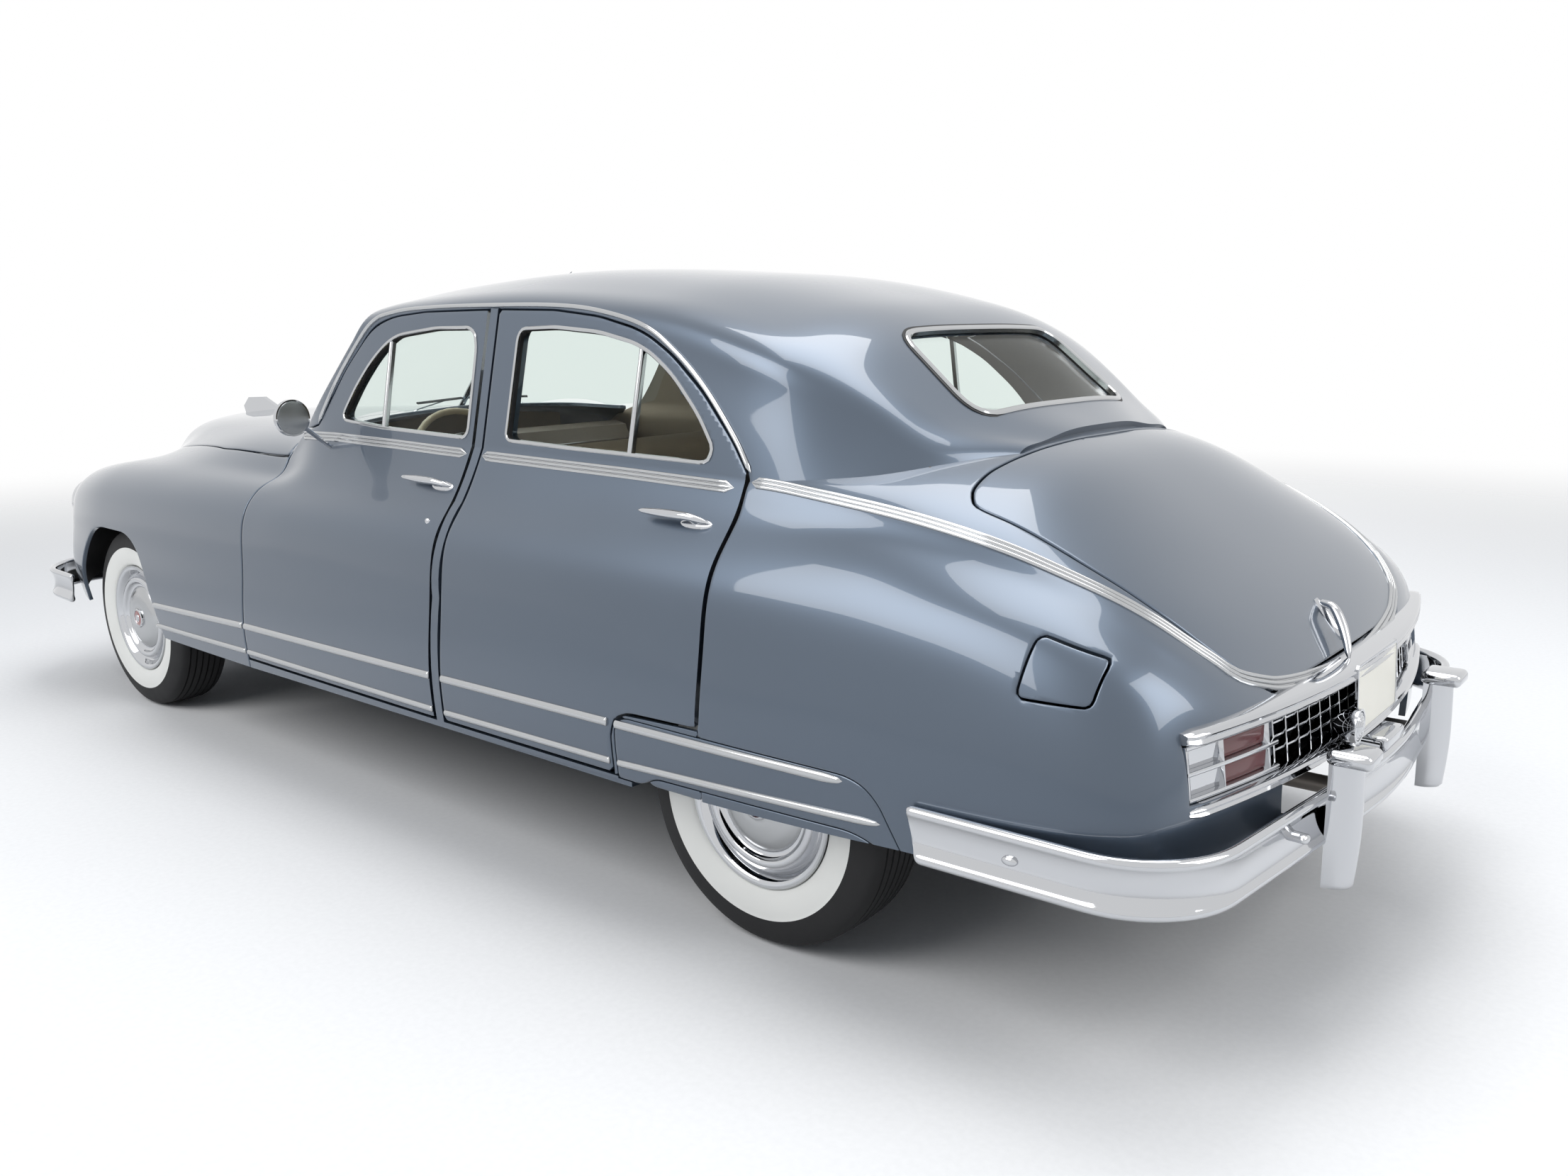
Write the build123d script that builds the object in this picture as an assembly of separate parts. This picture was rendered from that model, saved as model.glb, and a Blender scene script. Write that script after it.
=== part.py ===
from build123d import *
import math
import os

os.makedirs("parts", exist_ok=True)

# A full-size four-door sedan of the late 1940s, in millimetres.
# X runs to the rear, Y to the car's right, Z up. The origin is on the ground at mid length.

# Running gear
wheelbase = 3226.0
rear_axle_x = 1463.0
front_axle_x = rear_axle_x - wheelbase
wheel_centre_z = 356.0
tyre_radius = 356.0
tyre_half_width = 104.0
track_half = 772.0
rim_radius = 191.7
tyre_fit = 0.3
trim_ring_radius = 208.0
drum_radius = 150.0
stub_radius = 22.0
stub_clearance = 0.05
king_pin_y = 672.0
king_pin_radius = 12.0

# Body outline
half_length = 2678.0
side_wall = 80.0
pillar_wall = 42.0
roof_wall = 30.0
front_wall = 20.0
rear_wall = 30.0
door_skin = 8.0
door_gap = 7.5
seam_gap = 8.0
flap_gap = 5.5
seat_gap = 0.3
rebate = 25.0
glass_thickness = 6.0
glass_depth = 14.0
glass_fit = 0.3
least_bulge = 0.8
sill_drop = 120.0
lap = 6.0

# Door lines, seen from the side
front_door_front_x = -703.0
front_door_rear_x = 363.0
rear_door_front_x = 410.0
rear_door_rear_x = 1385.0
door_bottom_z = 385.0
skirt_front_x = 1110.0
skirt_top_z = 534.0

# Station tables, one row for each cross section.
# Columns: x, then y,z pairs from the sill up: sill, waist, side, shoulder, ledge, fall, belt,
# and above the belt gutter, cant, crown (cabin) or flank, crown (hood, deck), then the top z.
CABIN_STATIONS = [
    (-860, 960, 345, 970, 480, 952, 700, 914, 890, 840, 950, 785, 975, 735, 1030,
     690, 1290, 590, 1325, 430, 1345, 1360),
    (-703, 962, 350, 972, 480, 955, 700, 918, 893, 850, 955, 788, 985, 748, 1045,
     697, 1360, 590, 1395, 430, 1418, 1432),
    (-450, 966, 353, 976, 485, 958, 705, 922, 897, 858, 968, 812, 1040, 783, 1132,
     714, 1440, 600, 1488, 430, 1518, 1535),
    (-120, 970, 356, 980, 490, 961, 715, 925, 900, 864, 978, 822, 1050, 789, 1136,
     708, 1494, 600, 1546, 430, 1580, 1602),
    (368, 975, 360, 984, 495, 964, 730, 926, 905, 869, 985, 826, 1058, 791, 1130,
     706, 1508, 600, 1564, 430, 1603, 1628),
    (950, 975, 368, 984, 505, 963, 735, 924, 907, 867, 986, 825, 1045, 791, 1112,
     712, 1468, 600, 1530, 430, 1570, 1597),
    (1392, 972, 376, 983, 512, 958, 742, 918, 907, 856, 989, 822, 1035, 791, 1098,
     732, 1362, 615, 1440, 400, 1490, 1506),
]
FRONT_STATIONS = [
    (-2562, 560, 470, 585, 545, 575, 640, 540, 720, 470, 760, 400, 780, 300, 800,
     220, 835, 110, 858, 866),
    (-2520, 690, 440, 715, 540, 700, 660, 670, 765, 590, 815, 470, 830, 330, 850,
     260, 925, 130, 985, 1000),
    (-2440, 785, 410, 810, 530, 795, 670, 762, 800, 680, 862, 510, 872, 370, 888,
     290, 985, 150, 1050, 1068),
    (-2280, 860, 385, 884, 520, 868, 680, 835, 830, 745, 900, 580, 912, 430, 930,
     330, 1030, 180, 1086, 1102),
    (-1885, 925, 360, 940, 505, 922, 690, 888, 870, 800, 938, 670, 965, 548, 1002,
     420, 1074, 220, 1114, 1126),
    (-1300, 950, 350, 962, 490, 944, 700, 908, 885, 828, 950, 752, 985, 678, 1034,
     520, 1104, 260, 1140, 1150),
    (-703, 962, 350, 972, 480, 955, 700, 918, 893, 850, 955, 788, 985, 748, 1045,
     620, 1120, 300, 1160, 1172),
    (-520, 964, 352, 974, 482, 957, 702, 920, 895, 854, 962, 800, 1010, 768, 1090,
     640, 1150, 300, 1184, 1194),
]
REAR_STATIONS = [
    (1392, 972, 376, 983, 512, 958, 742, 918, 907, 856, 989, 822, 1035, 791, 1098,
     690, 1150, 430, 1195, 1215),
    (1742, 966, 388, 976, 516, 951, 745, 905, 905, 838, 985, 803, 1018, 773, 1056,
     690, 1112, 430, 1178, 1204),
    (1960, 958, 398, 968, 518, 941, 742, 888, 893, 818, 960, 786, 988, 756, 1020,
     665, 1070, 430, 1132, 1158),
    (2181, 944, 400, 954, 520, 925, 732, 866, 858, 788, 910, 752, 926, 720, 943,
     635, 972, 430, 1008, 1024),
    (2320, 925, 402, 934, 525, 902, 716, 838, 818, 752, 856, 720, 868, 688, 876,
     600, 892, 400, 908, 914),
    (2410, 890, 410, 899, 530, 860, 690, 790, 772, 712, 800, 680, 808, 640, 812,
     540, 822, 350, 833, 838),
    (2470, 830, 420, 838, 538, 785, 655, 715, 712, 640, 738, 600, 744, 550, 748,
     450, 754, 300, 762, 766),
    (2512, 690, 430, 700, 540, 655, 622, 590, 664, 510, 682, 470, 686, 420, 690,
     340, 694, 220, 700, 704),
    (2536, 430, 440, 440, 545, 420, 600, 380, 630, 320, 642, 290, 645, 260, 648,
     210, 651, 140, 655, 658),
]
# Roof behind the doors: the base is below the deck, and the deck trims it.
PILLAR_STATIONS = [
    (1392, 803, 1040, 732, 1362, 615, 1440, 400, 1490, 1506),
    (1500, 790, 1040, 706, 1320, 590, 1396, 370, 1440, 1454),
    (1640, 745, 1040, 640, 1250, 520, 1302, 340, 1335, 1348),
    (1776, 680, 1040, 590, 1158, 460, 1208, 300, 1236, 1248),
    (1890, 480, 1040, 390, 1150, 300, 1172, 180, 1186, 1192),
]
SIDE_SPANS = ("arc", "arc", "arc")
CABIN_SPANS = SIDE_SPANS + ("line", "arc")
DECK_SPANS = SIDE_SPANS + ("arc",)
PILLAR_SPANS = ("line", "arc")


def slopes(xs, values):
    """Slope at each knot of a curve that never overshoots its points."""
    steps = [(values[i + 1] - values[i]) / (xs[i + 1] - xs[i]) for i in range(len(xs) - 1)]
    inner = []
    for before, after in zip(steps, steps[1:]):
        same_way = before * after > 0
        inner.append(2 * before * after / (before + after) if same_way else 0.0)
    return [steps[0]] + inner + [steps[-1]]


def blended(stations, step):
    """The stations with rows put in between, so that no bay is longer than step."""
    xs = [row[0] for row in stations]
    columns = list(zip(*stations))
    tangents = [slopes(xs, column) for column in columns]
    rows = []
    for i in range(len(xs) - 1):
        span = xs[i + 1] - xs[i]
        parts = math.ceil(span / step)
        for k in range(parts):
            t = k / parts
            weights = ((1 + 2 * t) * (1 - t) ** 2, t * (1 - t) ** 2 * span,
                       t * t * (3 - 2 * t), t * t * (t - 1) * span)
            rows.append(tuple(
                weights[0] * column[i] + weights[1] * slope[i]
                + weights[2] * column[i + 1] + weights[3] * slope[i + 1]
                for column, slope in zip(columns, tangents)))
    return rows + [stations[-1]]


def pairs(row):
    """The y,z points of a station row, without its x and its top."""
    flat = row[1:-1]
    return [(flat[i], flat[i + 1]) for i in range(0, len(flat), 2)]


def arc_through(start, via, end):
    """Arc through three points, with at least least_bulge between the arc and its chord."""
    chord = Vector(*end) - Vector(*start)
    reach = Vector(*via) - Vector(*start)
    bulge = reach.cross(chord).length / chord.length
    if bulge < least_bulge:
        via = (via[0], via[1] + math.copysign(least_bulge, via[1]), via[2] + least_bulge)
    return ThreePointArc(start, via, end)


def section_wire(x, points, top, spans):
    """Closed cross section: right side, crown arc, left side, floor line."""
    right = [(x, y, z) for y, z in points]
    left = [(x, -y, z) for y, z in points]
    edges = []
    mirrored = []
    at = 0
    for kind in spans:
        if kind == "arc":
            edges.append(arc_through(right[at], right[at + 1], right[at + 2]))
            mirrored.append(arc_through(left[at + 2], left[at + 1], left[at]))
            at += 2
        else:
            edges.append(Line(right[at], right[at + 1]))
            mirrored.append(Line(left[at + 1], left[at]))
            at += 1
    edges.append(ThreePointArc(right[at], (x, 0, top), left[at]))
    edges += mirrored[::-1]
    edges.append(Line(left[0], right[0]))
    return Wire(edges)


def inset(points, top, depth_of, drop):
    """The points moved inwards along their normals by depth_of(z), the first one dropped."""
    chain = points + [(0.0, top)]
    moved = []
    for i, (y, z) in enumerate(points):
        before = chain[max(i - 1, 0)]
        after = chain[i + 1]
        run = (after[0] - before[0], after[1] - before[1])
        length = math.hypot(*run)
        depth = depth_of(z)
        moved.append((y - depth * run[1] / length, z + depth * run[0] / length))
    moved[0] = (moved[0][0], moved[0][1] - drop)
    return moved, top - depth_of(top)


def shell_solid(stations, spans, depth_of=None, start=0.0, end=0.0):
    """Loft of the stations, or of their insets with the two ends moved along X."""
    wires = []
    last = len(stations) - 1
    for i, row in enumerate(stations):
        points, top = pairs(row), row[-1]
        x = row[0] + (start if i == 0 else 0.0) + (end if i == last else 0.0)
        if depth_of is not None:
            points, top = inset(points, top, depth_of, sill_drop)
        wires.append(section_wire(x, points, top, spans))
    return Solid.make_loft(wires, True)


def side_prism(outline, low_y, high_y):
    """Prism along Y with an outline of (x, z) points."""
    face = Face(Wire.make_polygon([(x, low_y, z) for x, z in outline]))
    return Solid.extrude(face, Vector(0, high_y - low_y, 0))


def top_prism(outline, low_z, high_z):
    """Prism along Z with an outline of (x, y) points."""
    face = Face(Wire.make_polygon([(x, y, low_z) for x, y in outline]))
    return Solid.extrude(face, Vector(0, 0, high_z - low_z))


def block(x0, x1, y0, y1, z0, z1):
    """Box between two corners."""
    return Pos((x0 + x1) / 2, (y0 + y1) / 2, (z0 + z1) / 2) * Box(x1 - x0, y1 - y0, z1 - z0)


def mirror_y(shape):
    return mirror(shape, about=Plane.XZ)


def along_y(flat, low_y, high_y):
    """A flat (x, z) face drawn on the XY plane, stood up and carried along Y."""
    standing = Pos(0, high_y, 0) * (Rot(90, 0, 0) * flat)
    return extrude(standing, amount=high_y - low_y, dir=(0, -1, 0))


written = []


def save(name, *solids):
    """Write one node."""
    flat = []
    for item in solids:
        flat += list(item.solids())
    shape = flat[0] if len(flat) == 1 else Compound(children=flat)
    export_step(shape, f"parts/{name}.step")
    written.append(name)


# Body shells: outside and inside of the cabin, front, rear and rear pillars.


def cabin_depth(z):
    """Wall of the doors below the belt, thinner at the pillars and the roof."""
    if z < 1080:
        return side_wall
    if z < 1520:
        return pillar_wall
    return roof_wall


cabin_rows = blended(CABIN_STATIONS, 260.0)
front_rows = blended(FRONT_STATIONS, 210.0)
rear_rows = blended(REAR_STATIONS, 180.0)
pillar_rows = blended(PILLAR_STATIONS, 130.0)
cabin_outer = shell_solid(cabin_rows, CABIN_SPANS)
cabin_inner = shell_solid(cabin_rows, CABIN_SPANS, cabin_depth, -5, 5)
cabin_skin = shell_solid(cabin_rows, CABIN_SPANS, lambda z: door_skin, -5, 5)
front_outer = shell_solid(front_rows, DECK_SPANS)
front_inner = shell_solid(front_rows, DECK_SPANS, lambda z: front_wall, front_wall, 5)
rear_outer = shell_solid(rear_rows, DECK_SPANS, start=-lap)
rear_inner = shell_solid(rear_rows[:-1], DECK_SPANS, lambda z: rear_wall, -lap - 5, 0)
pillar_outer = shell_solid(pillar_rows, PILLAR_SPANS)
pillar_inner = shell_solid(pillar_rows, PILLAR_SPANS, lambda z: pillar_wall, -5, -40)

cabin_shell = cabin_outer - cabin_inner
front_shell = front_outer - front_inner
rear_shell = rear_outer - rear_inner
pillar_shell = pillar_outer - pillar_inner

# Outlines of the openings in the sides, as (x, z)
FRONT_DOOR = [
    (front_door_front_x, door_bottom_z), (front_door_front_x, 1042), (-600, 1125),
    (-462, 1156), (-333, 1334), (-211, 1458), (-109, 1490), (60, 1502),
    (front_door_rear_x, 1503), (front_door_rear_x, door_bottom_z),
]
REAR_DOOR = [
    (rear_door_front_x, door_bottom_z), (rear_door_front_x, 1503), (640, 1497), (816, 1478),
    (986, 1440), (1099, 1380), (1213, 1296), (1326, 1186), (rear_door_rear_x, 1112),
    (rear_door_rear_x, 556), (1155, 550), (1112, 530), (1094, 490), (1094, door_bottom_z),
]
FRONT_WINDOW = [
    (-330, 1180), (-262, 1285), (-185, 1372), (-90, 1436), (120, 1457), (285, 1457),
    (312, 1440), (326, 1400), (333, 1170), (318, 1152), (-100, 1164),
]
REAR_WINDOW = [
    (503, 1165), (504, 1430), (518, 1452), (649, 1455), (825, 1441), (993, 1407),
    (1108, 1338), (1213, 1243), (1268, 1172), (1262, 1142), (1240, 1134), (754, 1145),
    (516, 1153),
]
SKIRT = [
    (skirt_front_x, 372), (skirt_front_x, 500), (1122, 524), (1150, skirt_top_z),
    (1801, skirt_top_z), (1850, 520), (1885, 488), (1940, 380), (1895, 380), (1820, 409),
    (1240, 398), (1195, 372),
]
ARCH = [
    (-2190, 300), (-2150, 500), (-2090, 610), (-2000, 690), (-1900, 716), (-1640, 716),
    (-1545, 670), (-1470, 580), (-1410, 470), (-1350, 300),
]
# Fuel door on the left rear quarter, and the lid and hood seams seen from above as (x, y)
FUEL_DOOR = [(2168, 757), (2181, 868), (2312, 831), (2305, 754)]
hood_rear_side_x = -716.0
HOOD_SIDE = [
    (-2700, 300), (-2562, 300), (-2520, 330), (-2440, 370), (-2280, 430), (-1885, 548),
    (-1300, 678), (-900, 726), (hood_rear_side_x, 746),
]
hood_rear_centre_x = -850.0
hood_nose_z = 792.0
LID_SIDE = [
    (1884, 560), (1896, 640), (1925, 678), (1960, 680), (2181, 655), (2320, 628),
    (2410, 586), (2470, 505), (2512, 380), (2600, 300),
]
lid_front_x = 1902.0
lid_bottom_z = 716.0


def flat_face(outline):
    return Face(Wire.make_polygon([(a, b, 0) for a, b in outline]))


def grown(outline, amount):
    """The outline moved outwards by amount, or inwards if it is negative."""
    return offset(flat_face(outline), amount=amount, kind=Kind.INTERSECTION)


def both_sides(outline, grow, low_y=600.0, high_y=1100.0):
    """The side prism of an outline on the left and on the right."""
    flat = grown(outline, grow) if grow else flat_face(outline)
    return along_y(flat, low_y, high_y), along_y(flat, -high_y, -low_y)


def upright(flat, low_z, high_z):
    """A flat (x, y) face carried along Z."""
    return extrude(Pos(0, 0, low_z) * flat, amount=high_z - low_z, dir=(0, 0, 1))


# Doors: the whole wall, the outer skin lapping the pillar behind by the rebate

cabin_half = cabin_shell & block(-900, 1400, 0, 1100, 300, 1700)
openings = {}
for label, outline, window in (("front", FRONT_DOOR, FRONT_WINDOW),
                               ("rear", REAR_DOOR, REAR_WINDOW)):
    prism = both_sides(outline, 0)[0]
    band = prism - Pos(-rebate, 0, 0) * prism
    door = (cabin_half & prism) - (band & cabin_skin) - both_sides(window, 0)[0]
    save(f"door_{label}_right", door)
    save(f"door_{label}_left", mirror_y(door))
    openings[label, "right"], openings[label, "left"] = both_sides(outline, door_gap)

# Door glass: a pane that follows the wall, set glass_depth behind the skin
lean = math.atan2(0.224, 1.0)
step_in = Vector(0, -math.cos(lean), -math.sin(lean))
pane_outer = Pos(step_in * glass_depth) * cabin_outer
pane_inner = Pos(step_in * (glass_depth + glass_thickness)) * cabin_outer
for label, window in (("front", FRONT_WINDOW), ("rear", REAR_WINDOW)):
    right_prism = both_sides(window, -glass_fit, 600, 1000)[0]
    pane = (pane_outer & right_prism) - pane_inner
    save(f"glass_{label}_right", pane)
    save(f"glass_{label}_left", mirror_y(pane))

# Windscreen: two flat panes in a shallow V that cut the cabin and lean back
screen_slope = 0.918
screen_sweep = 0.29
screen_top_x = -400.0
screen_top_z = 1560.0
cowl_top_z = 1122.0


def screen_x(y, z, ahead=0.0):
    """X of the windscreen plane, ahead measured square to the slope."""
    square = ahead * math.hypot(1, screen_slope)
    return screen_top_x - screen_slope * (screen_top_z - z) + screen_sweep * abs(y) - square


def screen_slab(near, far, low_z, high_z, side):
    """Slab between two distances ahead of one screen plane, on one side of the middle."""
    wide = 900.0 * side
    edge = 3.0 * side

    def ring(z):
        return Wire.make_polygon([
            (screen_x(edge, z, near), edge, z), (screen_x(wide, z, near), wide, z),
            (screen_x(wide, z, far), wide, z), (screen_x(edge, z, far), edge, z)])

    return Solid.make_loft([ring(low_z), ring(high_z)], True)


def ahead_of_screen(low_z, high_z):
    """Everything in front of the screen planes."""
    def ring(z):
        return Wire.make_polygon([
            (screen_x(0, z), 0, z), (screen_x(1000, z), 1000, z), (-1500, 1000, z),
            (-1500, -1000, z), (screen_x(1000, z), -1000, z)])

    return Solid.make_loft([ring(low_z), ring(high_z)], True)


pane_room = cabin_skin & block(-900, 0, -800, 800, cowl_top_z + 20, 1700)
panes = [(pane_room & screen_slab(glass_fit, glass_thickness, 1050, 1650, side))
         - Pos(0, 0, glass_fit) * front_outer for side in (1, -1)]
save("windshield", *panes)

# Roof: everything above the belt that isn't door or centre pillar, and the part behind
pillar_top_z = 1510.5
centre_post = block(front_door_rear_x + door_gap, rear_door_front_x - door_gap,
                    -1100, 1100, 300, pillar_top_z)
cabin_frame = cabin_half - openings["front", "right"] - openings["rear", "right"]
greenhouse = cabin_frame & block(-900, 1392, 0, 1100, cowl_top_z, 1700)
greenhouse = greenhouse - ahead_of_screen(1000, 1700)
greenhouse = greenhouse - centre_post
greenhouse += mirror_y(greenhouse)
rear_pillars = pillar_shell - rear_outer
rear_pillars = rear_pillars & block(1392, 2000, -900, 900, 1060, 1700)
backlight_slope = math.atan2(1430 - 1215, 1755 - 1505)
backlight = Plane(origin=(1630, 0, 1322),
                  x_dir=(0, 1, 0),
                  z_dir=(math.sin(backlight_slope), 0, math.cos(backlight_slope)))
backlight_width = 770.0
backlight_height = 318.0
backlight_corner = 70.0
opening_face = backlight * RectangleRounded(backlight_width, backlight_height, backlight_corner)
backlight_prism = extrude(opening_face, amount=260, both=True)
rear_pillars = rear_pillars - backlight_prism
roof = greenhouse + rear_pillars
print("roof", [round(s.volume / 1e6, 2) for s in roof.solids()], roof.is_valid)
save("roof", max(roof.solids(), key=lambda s: s.volume))

glass_face = backlight * RectangleRounded(backlight_width - 2 * glass_fit,
                                          backlight_height - 2 * glass_fit, backlight_corner)
glass_prism = extrude(glass_face, amount=120, both=True)
glass_in = Vector(-math.sin(backlight_slope), 0, -math.cos(backlight_slope))
rear_window = (Pos(glass_in * glass_depth) * pillar_outer) & glass_prism
rear_window = rear_window - Pos(glass_in * (glass_depth + glass_thickness)) * pillar_outer
save("rear_window", max(rear_window.solids(), key=lambda s: s.volume))
print("rear_window", [round(s.volume / 1e6, 2) for s in rear_window.solids()])

# Sills and centre pillars
skirt_openings = both_sides(SKIRT, seat_gap)
lower_frame = cabin_frame & (block(front_door_front_x, 1392, 0, 1100, 300,
                                   door_bottom_z - door_gap)
                             + centre_post)
lower_frame = lower_frame - skirt_openings[0]
sill_inner_y = 815.0
sill_outer_y = 912.0
lower_frame += block(front_door_front_x, skirt_front_x - 20, sill_inner_y, sill_outer_y, 325,
                     door_bottom_z - door_gap)
side_frame = max(lower_frame.solids(), key=lambda s: s.volume)
print("side_frames", [round(s.volume / 1e6, 3) for s in lower_frame.solids()])
save("side_frames", side_frame, mirror_y(side_frame))

# Rear wheel skirts
skirt_prism = both_sides(SKIRT, 0)[0]
skirt = ((cabin_outer & skirt_prism) - cabin_skin) + (rear_shell & skirt_prism)
save("skirts", skirt, mirror_y(skirt))

# Rear quarters, deck and tail in one welded shell
lid_half = [(lid_front_x, 0)] + [(1894, 300)] + LID_SIDE + [(2700, 0)]
lid_plan = flat_face(lid_half + [(x, -y) for x, y in lid_half[-2:0:-1]])
lid_room = upright(offset(lid_plan, amount=flap_gap, kind=Kind.INTERSECTION),
                   lid_bottom_z - flap_gap, 1500)
lid_prism = upright(lid_plan, lid_bottom_z, 1500)
trunk_lid = rear_shell & lid_prism
print("trunk_lid", [round(s.volume / 1e6, 2) for s in trunk_lid.solids()])
save("trunk_lid", max(trunk_lid.solids(), key=lambda s: s.volume))

tail_recess_z = (566.0, 690.0)
tail_recess_half = 792.0
fuel_flap_prism = along_y(flat_face(FUEL_DOOR), -1100, -700)
fuel_flap_room = along_y(grown(FUEL_DOOR, flap_gap), -1100, -700)
rear_body = rear_shell - lid_room - openings["rear", "right"] - openings["rear", "left"]
for prism in skirt_openings:
    rear_body = rear_body - prism
rear_body = rear_body - fuel_flap_room
rear_body = rear_body - block(2415, 2700, -tail_recess_half, tail_recess_half, *tail_recess_z)
lip = cabin_frame & cabin_skin & block(1150, 1392, 0, 1100, skirt_top_z - 60, 560)
lip = lip - skirt_openings[0]
rear_body = rear_body + lip + mirror_y(lip)
rear_body = rear_body - block(1380, 1392, -1100, 1100, 600, 1300)
print("rear_body", [round(s.volume / 1e6, 3) for s in rear_body.solids()])
rear_body = max(rear_body.solids(), key=lambda s: s.volume)
save("rear_body", rear_body)

fuel_flap_thickness = 5.0
fuel_door = (rear_outer & fuel_flap_prism) - Pos(-1, fuel_flap_thickness, -2) * rear_outer
print("fuel_door", [round(s.volume / 1e6, 3) for s in fuel_door.solids()])
save("fuel_door", max(fuel_door.solids(), key=lambda s: s.volume))

# Hood, fenders, nose panel and cowl out of the front shell
hood_half = HOOD_SIDE + [(hood_rear_centre_x, 0)]
hood_plan = flat_face([(-2700, 0)] + hood_half + [(x, -y) for x, y in hood_half[-2::-1]])
hood_room = upright(offset(hood_plan, amount=seam_gap, kind=Kind.INTERSECTION),
                    hood_nose_z - seam_gap, 1500)
hood = front_shell & upright(hood_plan, hood_nose_z, 1500)
print("hood", [round(s.volume / 1e6, 3) for s in hood.solids()])
save("hood", max(hood.solids(), key=lambda s: s.volume))

front_panels = front_shell - hood_room
for label in ("right", "left"):
    front_panels = front_panels - openings["front", label]
grille_half = 540.0
grille_z = (556.0, 750.0)
nose_half = 300.0
nose_rear_x = -2380.0
lamp_y = 668.0
lamp_z = 742.0
lamp_bore = 100.0
lamp_radius = lamp_bore - seat_gap
front_panels = front_panels - block(-2700, -2450, -grille_half, grille_half, *grille_z)
fender_zone = block(-2700, front_door_front_x - door_gap, -1100, 1100, 300, 1400)
fenders = front_panels & fender_zone
for prism in both_sides(ARCH, 0):
    fenders = fenders - prism
for side in (1, -1):
    bore = Pos(-2500, side * lamp_y, lamp_z) * (Rot(0, 90, 0) * Cylinder(lamp_bore, 300))
    fenders = fenders - bore
# Cowl: the panel round the windscreen's foot, with the fire wall standing under it
cowl_front_x = front_door_front_x - door_gap + 0.1
cowl_half = [(hood_rear_centre_x - 20, 0), (-722, 740), (cowl_front_x, 757),
             (front_door_front_x + 1, 757), (front_door_front_x + 1, 860), (-545, 860),
             (-545, 640), (-620, 300), (-700, 0)]
cowl_plan = flat_face(cowl_half + [(x, -y) for x, y in cowl_half[-2:0:-1]])
cowl_room = upright(cowl_plan, 1000, 1400)
cowl = (front_panels & cowl_room) - greenhouse
fenders = fenders - cowl_room
floor_z = 360.0
floor_thickness = 12.0
tunnel_half = 150.0
tunnel_top = 590.0
wall_thickness = 12.0
wall_half_y = 960.0
wall_bend_y = 440.0
wall_side_x = front_door_front_x - door_gap - wall_thickness - 1.5
wall_side_top = 1000.0
wall_plan = [(-832, 0), (wall_side_x, wall_bend_y), (wall_side_x, wall_half_y)]
wall_back = [(x + wall_thickness, y) for x, y in wall_plan]
fire_wall = top_prism(wall_plan + wall_back[::-1], floor_z + floor_thickness + 0.3, 1200)
fire_wall = fire_wall - block(-900, -600, wall_bend_y, 1100, wall_side_top, 1300)
fire_wall += mirror_y(fire_wall)
fire_wall = fire_wall - block(-900, -600, -tunnel_half, tunnel_half, 300, tunnel_top)
fire_wall = fire_wall - hood_room
cowl += fire_wall & front_inner
print("cowl", [round(s.volume / 1e6, 3) for s in cowl.solids()], cowl.is_valid)
save("cowl", max(cowl.solids(), key=lambda s: s.volume))

nose_zone = block(-2700, nose_rear_x, -nose_half, nose_half, 300, 1400)
nose_panel = fenders & nose_zone
fenders = fenders - nose_zone
print("fenders", [round(s.volume / 1e6, 3) for s in fenders.solids()])
print("nose", [round(s.volume / 1e6, 3) for s in nose_panel.solids()])
save("fenders", *[s for s in fenders.solids() if s.volume > 1e5])
save("nose_panel", *[s for s in nose_panel.solids() if s.volume > 1e4])

# Wheels and tyres. Profiles are (out, radius), out measured from the wheel's centre plane.


def turned(wire_edges):
    """Ring turned about the Y axis from a profile in the (out, radius) plane."""
    face = Face(Wire(wire_edges))
    return revolve(face, axis=Axis.Y)


def at(out, radius):
    return (0, out, radius)


seat = rim_radius + tyre_fit
bead = 84.0
tyre_profile = [
    Line(at(-bead, seat), at(bead, seat)),
    Line(at(bead, seat), at(bead, trim_ring_radius + 1)),
    ThreePointArc(at(bead, trim_ring_radius + 1), at(tyre_half_width, 276), at(92, 330)),
    ThreePointArc(at(92, 330), at(84, 345), at(66, 351)),
    ThreePointArc(at(66, 351), at(0, tyre_radius), at(-66, 351)),
    ThreePointArc(at(-66, 351), at(-84, 345), at(-92, 330)),
    ThreePointArc(at(-92, 330), at(-tyre_half_width, 276), at(-bead, trim_ring_radius + 1)),
    Line(at(-bead, trim_ring_radius + 1), at(-bead, seat)),
]
tyre = turned(tyre_profile)

# The disc, its cover with a raised centre and a trim ring, and the brake drum behind
drum_inner = -62.0
bore_end = 12.0
stub_bore = stub_radius + stub_clearance
cap_out = 104.0
wheel_profile_points = [
    (drum_inner, stub_bore), (bore_end, stub_bore), (bore_end, 0.0), (cap_out, 0.0),
    (cap_out, 36), (96, 44), (88, 96), (74, 118), (72, 130), (84, 140), (88, 152), (82, 166),
    (66, 176), (90, 190), (92, trim_ring_radius - 6), (87, trim_ring_radius),
    (bead + 0.3, trim_ring_radius), (bead + 0.3, rim_radius), (-bead, rim_radius),
    (-bead - 6, 200), (-bead - 9, 200), (-bead - 6, 182), (-20, 176), (16, 150),
    (drum_inner, drum_radius),
]
wheel_face = Face(Wire.make_polygon([at(*p) for p in wheel_profile_points]))
wheel = revolve(wheel_face, axis=Axis.Y)
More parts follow.
